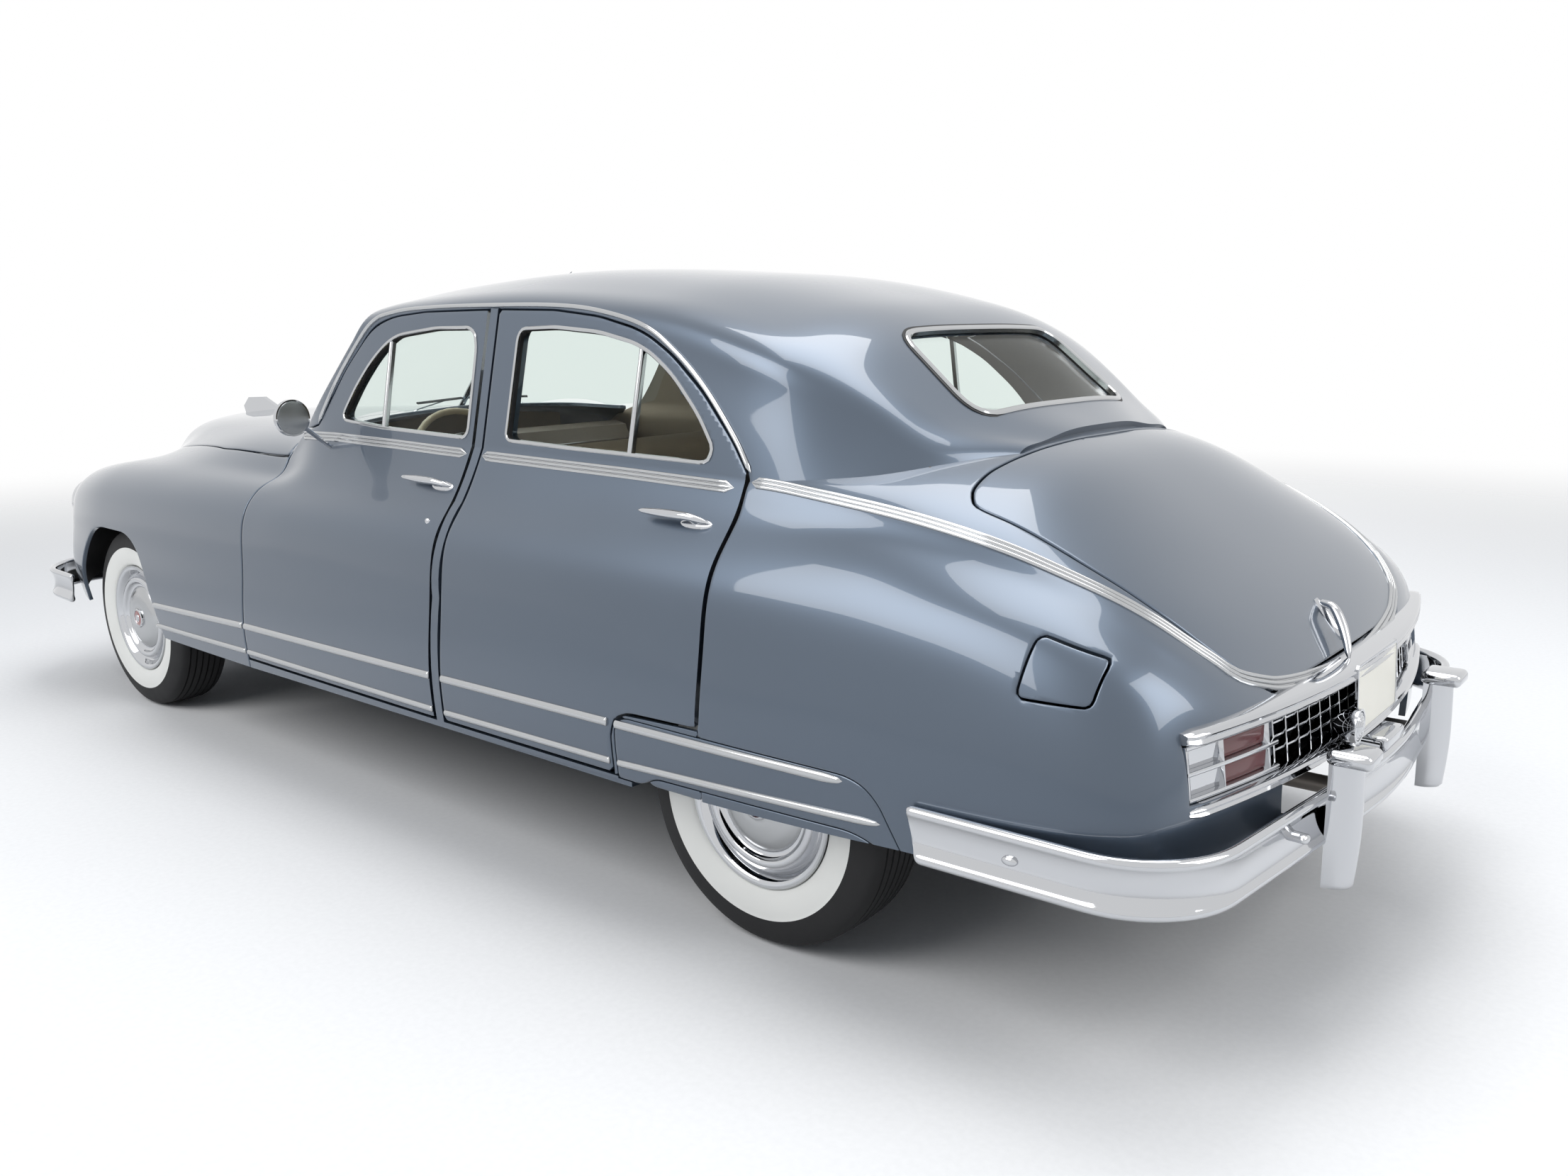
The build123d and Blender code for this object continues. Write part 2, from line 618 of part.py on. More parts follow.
for name, x in (("front", front_axle_x), ("rear", rear_axle_x)):
    for side, sign in (("left", -1), ("right", 1)):
        turn = Rot(0, 0, 180) if sign < 0 else Rot(0, 0, 0)
        place = Pos(x, sign * track_half, wheel_centre_z) * turn
        save(f"tyre_{name}_{side}", place * tyre)
        save(f"wheel_{name}_{side}", place * wheel)

# Knuckles: king post with a pin at each end, stub axle and steering arm
post_radius = 26.0
post_low_z = 262.0
post_high_z = 452.0
pin_length = 24.0
pin_clearance = 0.05
end_float = 0.3
stub_start_y = king_pin_y
stub_end_y = track_half + bore_end - 6
backing_y = track_half + drum_inner - 5.5
knuckle = Pos(front_axle_x, king_pin_y, (post_low_z + post_high_z) / 2) * Cylinder(
    post_radius, post_high_z - post_low_z)
knuckle += Pos(front_axle_x, king_pin_y, (post_low_z + post_high_z) / 2) * Cylinder(
    king_pin_radius, post_high_z - post_low_z + 2 * pin_length)
knuckle += Pos(front_axle_x, (stub_start_y + stub_end_y) / 2, wheel_centre_z) * (
    Rot(90, 0, 0) * Cylinder(stub_radius, stub_end_y - stub_start_y))
knuckle += Pos(front_axle_x, backing_y - 4, wheel_centre_z) * (
    Rot(90, 0, 0) * Cylinder(drum_radius - 8, 8))
steering_arm = side_prism([(front_axle_x, 290), (front_axle_x + 140, 282),
                           (front_axle_x + 140, 300), (front_axle_x, 316)],
                          king_pin_y - 14, king_pin_y + 14)
knuckle += steering_arm
print("knuckle", len(knuckle.solids()))
save("knuckle_right", knuckle)
save("knuckle_left", mirror_y(knuckle))

# Chassis frame: side rails with a kick-up, X member, cross members, arms and hangers
rail_y = 410.0
rail_half = 30.0
rail_outline = [
    (-2430, 330), (-2430, 420), (-2150, 420), (-1950, 359.6), (1080, 359.6), (1330, 536),
    (1640, 536), (1820, 470), (2390, 470), (2390, 380), (1830, 380), (1630, 440),
    (1350, 440), (1150, 250), (-1450, 240), (-1950, 250), (-2150, 330),
]
frame = side_prism(rail_outline, rail_y - rail_half, rail_y + rail_half)
frame += mirror_y(frame)
cross_members = [
    (-2420, -2350, 340, 410), (-1840, -1690, 256, 330), (-620, -540, 250, 300),
    (1000, 1070, 256, 304), (1850, 1900, 390, 460), (2320, 2380, 390, 460),
]
for x0, x1, z0, z1 in cross_members:
    frame += block(x0, x1, -rail_y, rail_y, z0, z1)
for sign in (1, -1):
    leg = [(-1500, -sign * 400), (-1380, -sign * 400), (760, sign * 400), (640, sign * 400)]
    frame += top_prism(leg, 240, 298)
# Suspension arms run from the rail to a boss that holds the king pin
boss_radius = 18.0
arm_levels = ((post_low_z - 40, post_low_z - end_float), (post_high_z + end_float, post_high_z + 40))
for z0, z1 in arm_levels:
    for sign in (1, -1):
        y_rail = sign * (rail_y - rail_half)
        y_pin = sign * king_pin_y
        arm = top_prism([(front_axle_x - 130, y_rail), (front_axle_x - 18, y_pin),
                         (front_axle_x + 18, y_pin), (front_axle_x + 130, y_rail)], z0, z1)
        arm += Pos(front_axle_x, y_pin, (z0 + z1) / 2) * Cylinder(boss_radius, z1 - z0)
        frame += arm
for sign in (1, -1):
    tower = block(front_axle_x - 130, front_axle_x + 130, sign * 395 - 15, sign * 395 + 15,
                  240, arm_levels[1][1])
    frame += tower
    pin_hole = Pos(front_axle_x, sign * king_pin_y, wheel_centre_z) * Cylinder(
        king_pin_radius + pin_clearance, 2 * pin_length + post_high_z - post_low_z + 4)
    frame = frame - pin_hole
# Spring hangers reach out from the rails
spring_y = 545.0
spring_half = 28.0
hanger_fit = 0.3
hangers = ((880, 290), (2060, 425))
for x, z in hangers:
    for sign in (1, -1):
        y0, y1 = sorted((sign * rail_y, sign * (spring_y + spring_half)))
        frame += block(x - 30, x + 30, y0, y1, z, z + 50)
print("frame", len(frame.solids()), frame.is_valid)
save("chassis_frame", frame)

# Rear axle: housing, differential and leaf springs
housing_radius = 42.0
axle_flange_y = track_half + drum_inner - 6.0
axle = Pos(rear_axle_x, 0, wheel_centre_z) * (Rot(90, 0, 0) * Cylinder(
    housing_radius, 2 * axle_flange_y))
axle += Pos(rear_axle_x, 0, wheel_centre_z) * Sphere(150)
axle += Pos(rear_axle_x, 0, wheel_centre_z) * (Rot(90, 0, 0) * Cylinder(
    stub_radius, 2 * (track_half + bore_end - 6)))
for sign in (1, -1):
    axle += Pos(rear_axle_x, sign * (axle_flange_y - 4), wheel_centre_z) * (
        Rot(90, 0, 0) * Cylinder(drum_radius - 8, 8))
    spring = [(hangers[0][0] - 40, hangers[0][1] - 42), (rear_axle_x - 120, 270),
              (rear_axle_x + 120, 270), (2100, 383), (2100, hangers[1][1] - hanger_fit),
              (2020, hangers[1][1] - hanger_fit), (rear_axle_x + 120, 322),
              (rear_axle_x - 120, 322), (960, hangers[0][1] - hanger_fit),
              (hangers[0][0] - 40, hangers[0][1] - hanger_fit)]
    axle += side_prism(spring, sign * spring_y - spring_half, sign * spring_y + spring_half)
print("axle", len(axle.solids()), axle.is_valid)
save("rear_axle", axle)

# Engine block and gearbox with the propeller shaft
engine = block(-1960, -880, -185, 185, 330.3, 960)
save("engine", engine)
gearbox = block(-879.7, -540, -130, 130, 300.3, 560)
shaft_end = rear_axle_x - 152
propeller = Pos((shaft_end - 541) / 2, 0, 356) * (
    Rot(0, 90, 0) * Cylinder(38, shaft_end + 541))
save("driveline", gearbox + propeller)

# Exhaust under the floor, muffler in the middle
pipe_radius = 24.0
exhaust_y = 250.0
pipe_z = 205.0
with BuildPart() as exhaust_part:
    with BuildLine() as route:
        FilletPolyline((-1620, 230, 420), (-1560, exhaust_y, pipe_z), (1900, exhaust_y, pipe_z),
                       (2150, 330, 260), (2440, 330, 260), radius=70)
    with BuildSketch(Plane(origin=route.line @ 0, z_dir=route.line % 0)):
        Circle(pipe_radius)
    sweep()
exhaust = exhaust_part.part
exhaust += Pos(-255, exhaust_y, pipe_z) * (Rot(0, 90, 0) * Cylinder(60, 490))
exhaust += block(1020, 1040, exhaust_y - 10, exhaust_y + 10, pipe_z, 256 - hanger_fit)
print("exhaust", len(exhaust.solids()), exhaust.is_valid)
save("exhaust", exhaust)

# Floor: front floor with its tunnel, step, boot floor, toe board and wheel houses
step_x = 830.0
raised_z = 600.0
boot_z = 508.0
front_floor_half = sill_inner_y - seat_gap
house_radius = 425.0
house_wall = 8.0
house_inner_y = 636.0
floor_pan = block(-820, step_x, -front_floor_half, front_floor_half, floor_z,
                  floor_z + floor_thickness)
floor_pan = floor_pan - block(-900, -520, -tunnel_half, tunnel_half, 300, 500)
# Gearbox cover, then the lower propeller shaft tunnel
cover = [(-825, -520, tunnel_half, tunnel_top - 0.3), (-520, step_x + 5, 62, 412)]
for x0, x1, half, top in cover:
    half -= 0.3
    floor_pan = floor_pan - block(x0 + 10, x1 + 20, -half + 8, half - 8, 300, top - 8)
    hood_box = block(x0, x1, -half, half, floor_z, top)
    hood_box = hood_box - block(x0 - 10, x1 + 10, -half + 8, half - 8, 300, top - 8)
    floor_pan += hood_box
floor_pan += block(-528, -520, -140, 140, 404, tunnel_top - 1)
floor_pan += block(-528, -520, 50, 145, floor_z, 420) + block(-528, -520, -145, -50, floor_z, 420)
for sign in (1, -1):
    y0, y1 = sorted((sign * tunnel_half, sign * front_floor_half))
    floor_pan += side_prism([(-480, floor_z), (-625, 640), (-633, 636), (-492, floor_z)], y0, y1)
step = block(step_x, step_x + floor_thickness, -front_floor_half, front_floor_half, floor_z,
             raised_z + floor_thickness)
step = step - block(step_x - 5, step_x + 20, -53.7, 53.7, 300, 404)
floor_pan += step
floor_pan += block(step_x, 1029, -870, 870, raised_z, raised_z + floor_thickness)
floor_pan += block(1020, 1800, -house_inner_y - 4, house_inner_y + 4, raised_z,
                   raised_z + floor_thickness)
floor_pan += block(1788, 1800, -house_inner_y - 4, house_inner_y + 4, boot_z, raised_z + 6)
boot_half = [(1788, 0), (1788, 640), (1880, 640), (1880, 892), (2300, 872), (2400, 820),
             (2455, 740), (2505, 600), (2505, 0)]
boot_plan = boot_half + [(x, -y) for x, y in boot_half[-2:0:-1]]
floor_pan += top_prism(boot_plan, boot_z, boot_z + floor_thickness)
for sign in (1, -1):
    drum = Pos(rear_axle_x, sign * (house_inner_y + 117), wheel_centre_z) * (
        Rot(90, 0, 0) * Cylinder(house_radius + house_wall, 234))
    rear_end = Pos(rear_axle_x, sign * (house_inner_y + 134), wheel_centre_z) * (
        Rot(90, 0, 0) * Cylinder(house_radius + house_wall, 268))
    hollow = Pos(rear_axle_x, sign * (house_inner_y + house_wall + 160), wheel_centre_z) * (
        Rot(90, 0, 0) * Cylinder(house_radius, 320))
    house = (drum + (rear_end & block(1400, 2000, -1000, 1000, 300, 900))) - hollow
    floor_pan += house & block(980, 1950, -1000, 1000, floor_z + 40, 900)
print("floor", [round(s.volume / 1e6, 3) for s in floor_pan.solids()], floor_pan.is_valid)
save("floor_pan", max(floor_pan.solids(), key=lambda s: s.volume))

# Radiator in its yoke, on the front ends of the rails
radiator = block(-2330, -2270, -330, 330, 440, 860) + block(-2335, -2265, -445, 445, 420.3, 470)
save("radiator", radiator)

# Fuel tank between the rear rails, hung under the boot floor
tank = block(1905, 2310, -360, 360, 330, 507.7)
tank = fillet(tank.edges().filter_by(Axis.X), 40)
save("fuel_tank", tank)

# Bumpers: a concave face between two round ridges, carried round the corners
bumper_profile = [(-6, 58), (3, 60), (10, 47), (7, 32), (-2, 0), (7, -32), (10, -47),
                  (3, -60), (-6, -58), (-9, 0)]


def bumper_bar(centre_x, corner_x, corner_y, side_x, side_y, level, corner_radius):
    """Sweep of the profile along sides, corners and a slightly bowed middle."""
    path = FilletPolyline((side_x, -side_y), (corner_x, -corner_y), (centre_x, 0),
                          (corner_x, corner_y), (side_x, side_y),
                          radius=[corner_radius, 2000, corner_radius])
    path = Pos(0, 0, level) * path
    start = path @ 0
    along = path % 0
    outward = Vector(along.Y, -along.X, 0)
    if outward.Y > 0:
        outward = -outward
    frame_plane = Plane(origin=start, x_dir=outward, z_dir=along)
    up = frame_plane.y_dir.Z
    points = [(u, v * up) for u, v in bumper_profile]
    p = [Vector(*q) for q in points]
    sketch = Face(Wire([
        ThreePointArc(p[0], p[1], p[2]), ThreePointArc(p[2], p[4], p[6]),
        ThreePointArc(p[6], p[7], p[8]), Line(p[8], p[9]), Line(p[9], p[0])]))
    return sweep(frame_plane * sketch, path=path, transition=Transition.RIGHT)


guard_y = 370.0
guard_inner = 2594.0
rear_bar_x = 2628.0
rear_level = 452.0
rear_bumper = bumper_bar(rear_bar_x, 2532, 968, 1962, 983, rear_level, 215)
front_level = 440.0
front_bar_x = -2628.0
front_bumper = bumper_bar(front_bar_x, -2588, 930, -2140, 952, front_level, 290)


def over_rider(tip_x, inner_x, level, sign):
    """Upright with a flat cap that reaches out over the bar."""
    s = 1 if tip_x > 0 else -1
    post = side_prism([(inner_x, level - 150), (tip_x - 30 * s, level - 135),
                       (tip_x - 22 * s, level), (tip_x - 30 * s, level + 130),
                       (inner_x, level + 130)], sign * guard_y - 34, sign * guard_y + 34)
    cap = block(*sorted((inner_x, tip_x)), sign * guard_y - 46, sign * guard_y + 46,
                level + 118, level + 150)
    return post + cap


for sign in (1, -1):
    rear_bumper += over_rider(half_length, guard_inner, rear_level, sign)
    front_bumper += over_rider(-half_length, -guard_inner, front_level, sign)
    # Bumper irons reach forward to the chassis rails
    rear_bumper += block(2390.3, 2600, sign * rail_y - 25, sign * rail_y + 25, 383, 423)
    front_bumper += block(-2600, -2430.3, sign * rail_y - 25, sign * rail_y + 25, 350, 410)
print("bumpers", len(rear_bumper.solids()), len(front_bumper.solids()),
      rear_bumper.is_valid, front_bumper.is_valid)
save("bumper_rear", rear_bumper)
save("bumper_front", front_bumper)

# Tail face: leans out towards the bottom and is bowed in plan
tail_centre_x = 2540.0
tail_bow_radius = 2949.0
tail_lean = 0.12
tail_top_z = 690.0


def tail_x(y, z, out):
    """X of the tail face, moved out by out."""
    bow = y * y / (2 * tail_bow_radius)
    return tail_centre_x - bow + (tail_top_z - z) * tail_lean + out


def tail_strip(y0, y1, inner, outer, z0, z1):
    """Bowed bar between two Y values, two depths and two heights."""
    mid = (y0 + y1) / 2

    def ring(z):
        outer_pts = [(tail_x(y, z, outer), y, z) for y in (y0, mid, y1)]
        inner_pts = [(tail_x(y, z, inner), y, z) for y in (y1, mid, y0)]
        return Wire([arc_x(*outer_pts), Line(outer_pts[2], inner_pts[0]),
                     arc_x(*inner_pts), Line(inner_pts[2], outer_pts[0])])

    return Solid.make_loft([ring(z0), ring(z1)], True)


def arc_x(a, b, c):
    """Arc, or a straight line where the strip is too short to bow."""
    chord = (a[0] + c[0]) / 2
    return Line(a, c) if abs(b[0] - chord) < 0.02 else ThreePointArc(a, b, c)


grille_half_y = 478.0
bar_z = {"top": (678, 710), "low": (540, 566)}
rear_grille = tail_strip(-788, 788, -40, 34, *bar_z["top"])
rear_grille += tail_strip(-788, 788, -20, 26, *bar_z["low"])
crate_columns = 19
crate_rows = 4
crate_bar = 5.0
rear_grille += tail_strip(-grille_half_y, grille_half_y, -60, -50, 560, 690)
for i in range(crate_columns):
    y = -grille_half_y + crate_bar / 2 + i * (2 * grille_half_y - crate_bar) / (crate_columns - 1)
    rear_grille += tail_strip(y - crate_bar / 2, y + crate_bar / 2, -52, -6, 562, 688)
for i in range(1, crate_rows):
    z = bar_z["low"][1] + i * (bar_z["top"][0] - bar_z["low"][1]) / crate_rows
    rear_grille += tail_strip(-grille_half_y, grille_half_y, -52, -10, z - 2, z + 2)
rear_grille = rear_grille - rear_body
print("rear_grille", [round(s.volume / 1e3) for s in rear_grille.solids()], rear_grille.is_valid)
save("rear_grille", max(rear_grille.solids(), key=lambda s: s.volume))
tail_lamps = [tail_strip(*sorted((sign * (grille_half_y + 0.3), sign * 782)), -40, 8,
                         bar_z["low"][1] + 0.3, bar_z["top"][0] - 0.3) for sign in (1, -1)]
save("tail_lamps", *[max((lamp - rear_body).solids(), key=lambda s: s.volume)
                     for lamp in tail_lamps])

# Front grille: the same crate, flat across the nose
front_face_x = -2556.0
front_grille = block(front_face_x, front_face_x + 60, -grille_half + seat_gap,
                     grille_half - seat_gap, grille_z[0] + seat_gap, grille_z[1] - seat_gap)
cell = (2 * (grille_half - seat_gap) - 20) / 16
row = (grille_z[1] - grille_z[0] - 2 * seat_gap - 20) / 4
cells = []
for i in range(16):
    for k in range(4):
        y0 = -grille_half + seat_gap + 10 + i * cell + 3
        z0 = grille_z[0] + seat_gap + 10 + k * row + 3
        cells.append(block(front_face_x - 1, front_face_x + 50, y0, y0 + cell - 6,
                           z0, z0 + row - 6))
front_grille = front_grille - cells
save("front_grille", front_grille)

# Headlamps: bowl, ring and domed lens
lamp_face_x = -2536.0
lamp_wire = Wire([
    ThreePointArc((-22, 0), (-16, 48), (0, lamp_radius - 10)),
    Line((0, lamp_radius - 10), (16, lamp_radius)), Line((16, lamp_radius), (70, lamp_radius)),
    Line((70, lamp_radius), (130, 50)), Line((130, 50), (130, 0)), Line((130, 0), (-22, 0))])
lamp = revolve(Face(lamp_wire), axis=Axis.X)
headlamps = [Pos(lamp_face_x, sign * lamp_y, lamp_z) * lamp for sign in (1, -1)]
save("headlamps", *headlamps)

# Seats: bench cushions and backs, all soft
def bench(front_x, floor_level, seat_z, back_top_z, half_width, depth, rake):
    cushion = side_prism([(front_x, floor_level), (front_x, seat_z - 10),
                          (front_x + 40, seat_z + 20), (front_x + depth, seat_z - 10),
                          (front_x + depth, floor_level)], -half_width, half_width)
    back = side_prism([(front_x + depth - 60, seat_z - 20), (front_x + depth + 70, seat_z - 20),
                       (front_x + depth + 130 + rake, back_top_z),
                       (front_x + depth + 30 + rake, back_top_z)], -half_width, half_width)
    return cushion + back


floor_top_z = floor_z + floor_thickness
front_seat = bench(-60, floor_top_z, 640, 1120, 700, 480, 40)
front_seat = front_seat - block(-100, 800, -114, 114, 300, 474)
save("front_seat", front_seat)
rear_seat = bench(862, 612.3, 690, 1130, 590, 460, 60)
save("rear_seat", rear_seat)

# Dashboard with the steering column's jacket, and the steering wheel in it
dash_half = 640.0
dash_front_x = wall_side_x + wall_thickness + 0.3
dash = side_prism([(dash_front_x, 900), (-600, 860), (-540, 880), (-510, 1000), (-540, 1064),
                   (-600, 1078), (-660, 1070), (dash_front_x, 980)], -dash_half, dash_half)
wheel_hub = Vector(-210, -370, 990)
column_tilt = math.radians(32.0)
column_axis = Vector(math.cos(column_tilt), 0, math.sin(column_tilt))
rim_plane = Plane(origin=wheel_hub, x_dir=(0, 1, 0), z_dir=column_axis)
rim_radius_wheel = 215.0
shaft_radius = 12.0
jacket_radius = 20.0
jacket_top = -60.0
jacket_low = -500.0
shaft_low = -260.0
jacket = rim_plane * (Pos(0, 0, (jacket_top + jacket_low) / 2) * Cylinder(
    jacket_radius, jacket_top - jacket_low))
bracket = block(-590, -550, wheel_hub.Y - 15, wheel_hub.Y + 15, 770, 870)
dash += jacket + bracket
dash = dash - rim_plane * (Pos(0, 0, (shaft_low + jacket_top) / 2) * Cylinder(
    shaft_radius + stub_clearance, jacket_top - shaft_low + 4))
print("dash", len(dash.solids()))
save("dashboard", dash)
steering = rim_plane * Torus(rim_radius_wheel, 13)
steering += rim_plane * (Pos(0, 0, -18) * Cylinder(42, 46))
steering += rim_plane * (Pos(0, 0, -10) * Box(2 * rim_radius_wheel - 6, 26, 14))
steering += rim_plane * (Pos(0, 0, (shaft_low + 4 - 18) / 2) * Cylinder(
    shaft_radius, -18 - shaft_low - 4))
print("steering", len(steering.solids()))
save("steering_wheel", steering)

# Mirror on the driver's door, and the ornament on the hood
mirror_post = Vector(-372, -775, 1075)
mirror_head = Vector(-358, -925, 1193)
mirror_part = Pos(mirror_head) * (Rot(0, 90, 0) * Cylinder(56, 16))
mirror_part += Pos(mirror_head + Vector(-14, 0, 0)) * (Rot(0, 90, 0) * Cone(20, 50, 20))
arm_line = Line(mirror_post, mirror_head)
mirror_part += sweep(Plane(origin=mirror_post, z_dir=mirror_head - mirror_post) * Circle(7),
                     path=arm_line)
save("mirror", mirror_part - cabin_outer)
ornament = side_prism([(-2400, 1050), (-2430, 1120), (-2380, 1160), (-2250, 1165),
                       (-2120, 1118), (-2100, 1080)], -9, 9)
ornament = ornament - front_outer
save("hood_ornament", max(ornament.solids(), key=lambda s: s.volume))
print(len(written), "nodes")
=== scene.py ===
import math

import bmesh
import bpy
import numpy as np
from mathutils import Matrix


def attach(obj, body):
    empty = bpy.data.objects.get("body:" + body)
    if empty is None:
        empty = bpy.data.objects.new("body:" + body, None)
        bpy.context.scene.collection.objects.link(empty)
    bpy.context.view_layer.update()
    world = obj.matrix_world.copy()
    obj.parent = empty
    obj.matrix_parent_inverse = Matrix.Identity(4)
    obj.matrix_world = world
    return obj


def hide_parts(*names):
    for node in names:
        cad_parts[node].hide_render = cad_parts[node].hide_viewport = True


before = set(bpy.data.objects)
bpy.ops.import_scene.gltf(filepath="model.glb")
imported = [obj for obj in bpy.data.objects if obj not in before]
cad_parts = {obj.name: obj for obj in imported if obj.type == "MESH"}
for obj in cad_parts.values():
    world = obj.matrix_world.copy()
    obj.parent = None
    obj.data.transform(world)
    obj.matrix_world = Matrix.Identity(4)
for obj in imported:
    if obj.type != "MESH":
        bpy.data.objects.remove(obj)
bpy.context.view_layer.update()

# Studio: a pale floor that keeps the car's shadow, a white surround and four soft lamps.
# The camera stands where the photographer stood, behind the left rear corner. The white
# surround shows to the camera and in glass and chrome, and lights the paint only softly.
scene = bpy.context.scene
MM = 0.001
FLOOR_HALF = 14.0
FADE_START, FADE_END = 3.5, 12.0
LAMP_AIM = np.array((0, 0, 0.7))
CAMERA_AT = (3.298, -2.951, 1.449)
CAMERA_YAW, CAMERA_DOWN, CAMERA_ROLL = (math.radians(a) for a in (50.12, 11.76, -0.79))
PHOTO_WIDTH, FOCAL_PIXELS = 2212.0, 1774.46
SENSOR_WIDTH = 36.0


def emptied(owner):
    """The node tree of a material or world, without its nodes."""
    owner.use_nodes = True
    owner.node_tree.nodes.clear()
    return owner.node_tree


def node(tree, kind, inputs=(), **settings):
    """A new shader node. Each input gets a value, or a link from the output given for it."""
    made = tree.nodes.new(f"ShaderNode{kind}")
    for setting, value in settings.items():
        setattr(made, setting, value)
    for label, value in dict(inputs).items():
        if isinstance(value, bpy.types.NodeSocket):
            tree.links.new(value, made.inputs[label])
        else:
            made.inputs[label].default_value = value
    return made


world = bpy.data.worlds.new("studio")
scene.world = world
tree = emptied(world)
rays = node(tree, "LightPath").outputs
through = node(tree, "Math", {0: rays["Is Glossy Ray"], 1: rays["Is Transmission Ray"]},
               operation="MAXIMUM")
seen = node(tree, "Math", {0: rays["Is Camera Ray"], 1: through.outputs[0]}, operation="MAXIMUM")
ambient = node(tree, "Background", {"Color": (0.80, 0.86, 0.95, 1), "Strength": 0.42})
backdrop = node(tree, "Background", {"Color": (1, 1, 1, 1)})
mixed = node(tree, "MixShader", {0: seen.outputs[0], 1: ambient.outputs[0],
                                 2: backdrop.outputs[0]})
node(tree, "OutputWorld", {"Surface": mixed.outputs[0]})

floor_mesh = bpy.data.meshes.new("studio_floor")
floor_mesh.from_pydata([(-FLOOR_HALF, -FLOOR_HALF, 0), (FLOOR_HALF, -FLOOR_HALF, 0),
                        (FLOOR_HALF, FLOOR_HALF, 0), (-FLOOR_HALF, FLOOR_HALF, 0)],
                       [], [(0, 1, 2, 3)])
floor = bpy.data.objects.new("studio_floor", floor_mesh)
scene.collection.objects.link(floor)
floor_finish = bpy.data.materials.new("studio_floor")
tree = emptied(floor_finish)
place = node(tree, "TexCoord").outputs["Object"]
spots = node(tree, "TexNoise", {"Vector": place, "Scale": 60.0})
tint = node(tree, "ValToRGB", {"Fac": spots.outputs["Fac"]})
tint.color_ramp.elements[0].color = (0.74, 0.74, 0.74, 1)
tint.color_ramp.elements[1].color = (0.80, 0.80, 0.80, 1)
matte = node(tree, "BsdfPrincipled", {"Base Color": tint.outputs["Color"], "Roughness": 0.9,
                                      "Specular IOR Level": 0.1})
reach = node(tree, "VectorMath", {0: place}, operation="LENGTH")
fade = node(tree, "MapRange", {"Value": reach.outputs["Value"], "From Min": FADE_START,
                               "From Max": FADE_END}, interpolation_type="SMOOTHSTEP")
clear = node(tree, "BsdfTransparent")
edge = node(tree, "MixShader", {0: fade.outputs["Result"], 1: matte.outputs[0],
                                2: clear.outputs[0]})
node(tree, "OutputMaterial", {"Surface": edge.outputs[0]})
floor_mesh.materials.append(floor_finish)

for lamp_name, where, size, power in (("key", (-1.5, -7.0, 6.5), 6.0, 480.0),
                                      ("top", (1.0, 1.0, 7.5), 5.0, 330.0),
                                      ("tail", (7.0, 1.0, 4.5), 4.0, 200.0),
                                      ("far", (-3.0, 7.0, 5.0), 5.0, 190.0)):
    light = bpy.data.lights.new(lamp_name, "AREA")
    light.size = size
    light.energy = power
    lamp = bpy.data.objects.new(lamp_name, light)
    lamp.location = where
    aim = LAMP_AIM - where
    lamp.rotation_euler = (math.pi / 2 - math.atan2(-aim[2], math.hypot(aim[0], aim[1])), 0,
                           math.atan2(aim[1], aim[0]) - math.pi / 2)
    lamp.visible_glossy = lamp_name != "far"
    scene.collection.objects.link(lamp)

camera_data = bpy.data.cameras.new("camera")
camera_data.sensor_width = SENSOR_WIDTH
camera_data.lens = FOCAL_PIXELS / PHOTO_WIDTH * SENSOR_WIDTH
camera = bpy.data.objects.new("camera", camera_data)
camera.location = CAMERA_AT
ahead = np.array((-math.cos(CAMERA_YAW) * math.cos(CAMERA_DOWN),
                  math.sin(CAMERA_YAW) * math.cos(CAMERA_DOWN), -math.sin(CAMERA_DOWN)))
level = np.cross(ahead, (0, 0, 1))
level /= np.linalg.norm(level)
upward = np.cross(level, ahead)
side_axis = level * math.cos(CAMERA_ROLL) + upward * math.sin(CAMERA_ROLL)
up_axis = upward * math.cos(CAMERA_ROLL) - level * math.sin(CAMERA_ROLL)
camera.rotation_euler = Matrix((side_axis, up_axis, -ahead)).transposed().to_euler()
scene.collection.objects.link(camera)
scene.camera = camera
scene.view_settings.view_transform = "Standard"

# Chassis, springs, axle, driveline, exhaust, tank and engine: black-painted steel and cast iron.
# They keep the CAD's shapes and get uneven, slightly dusty finishes.


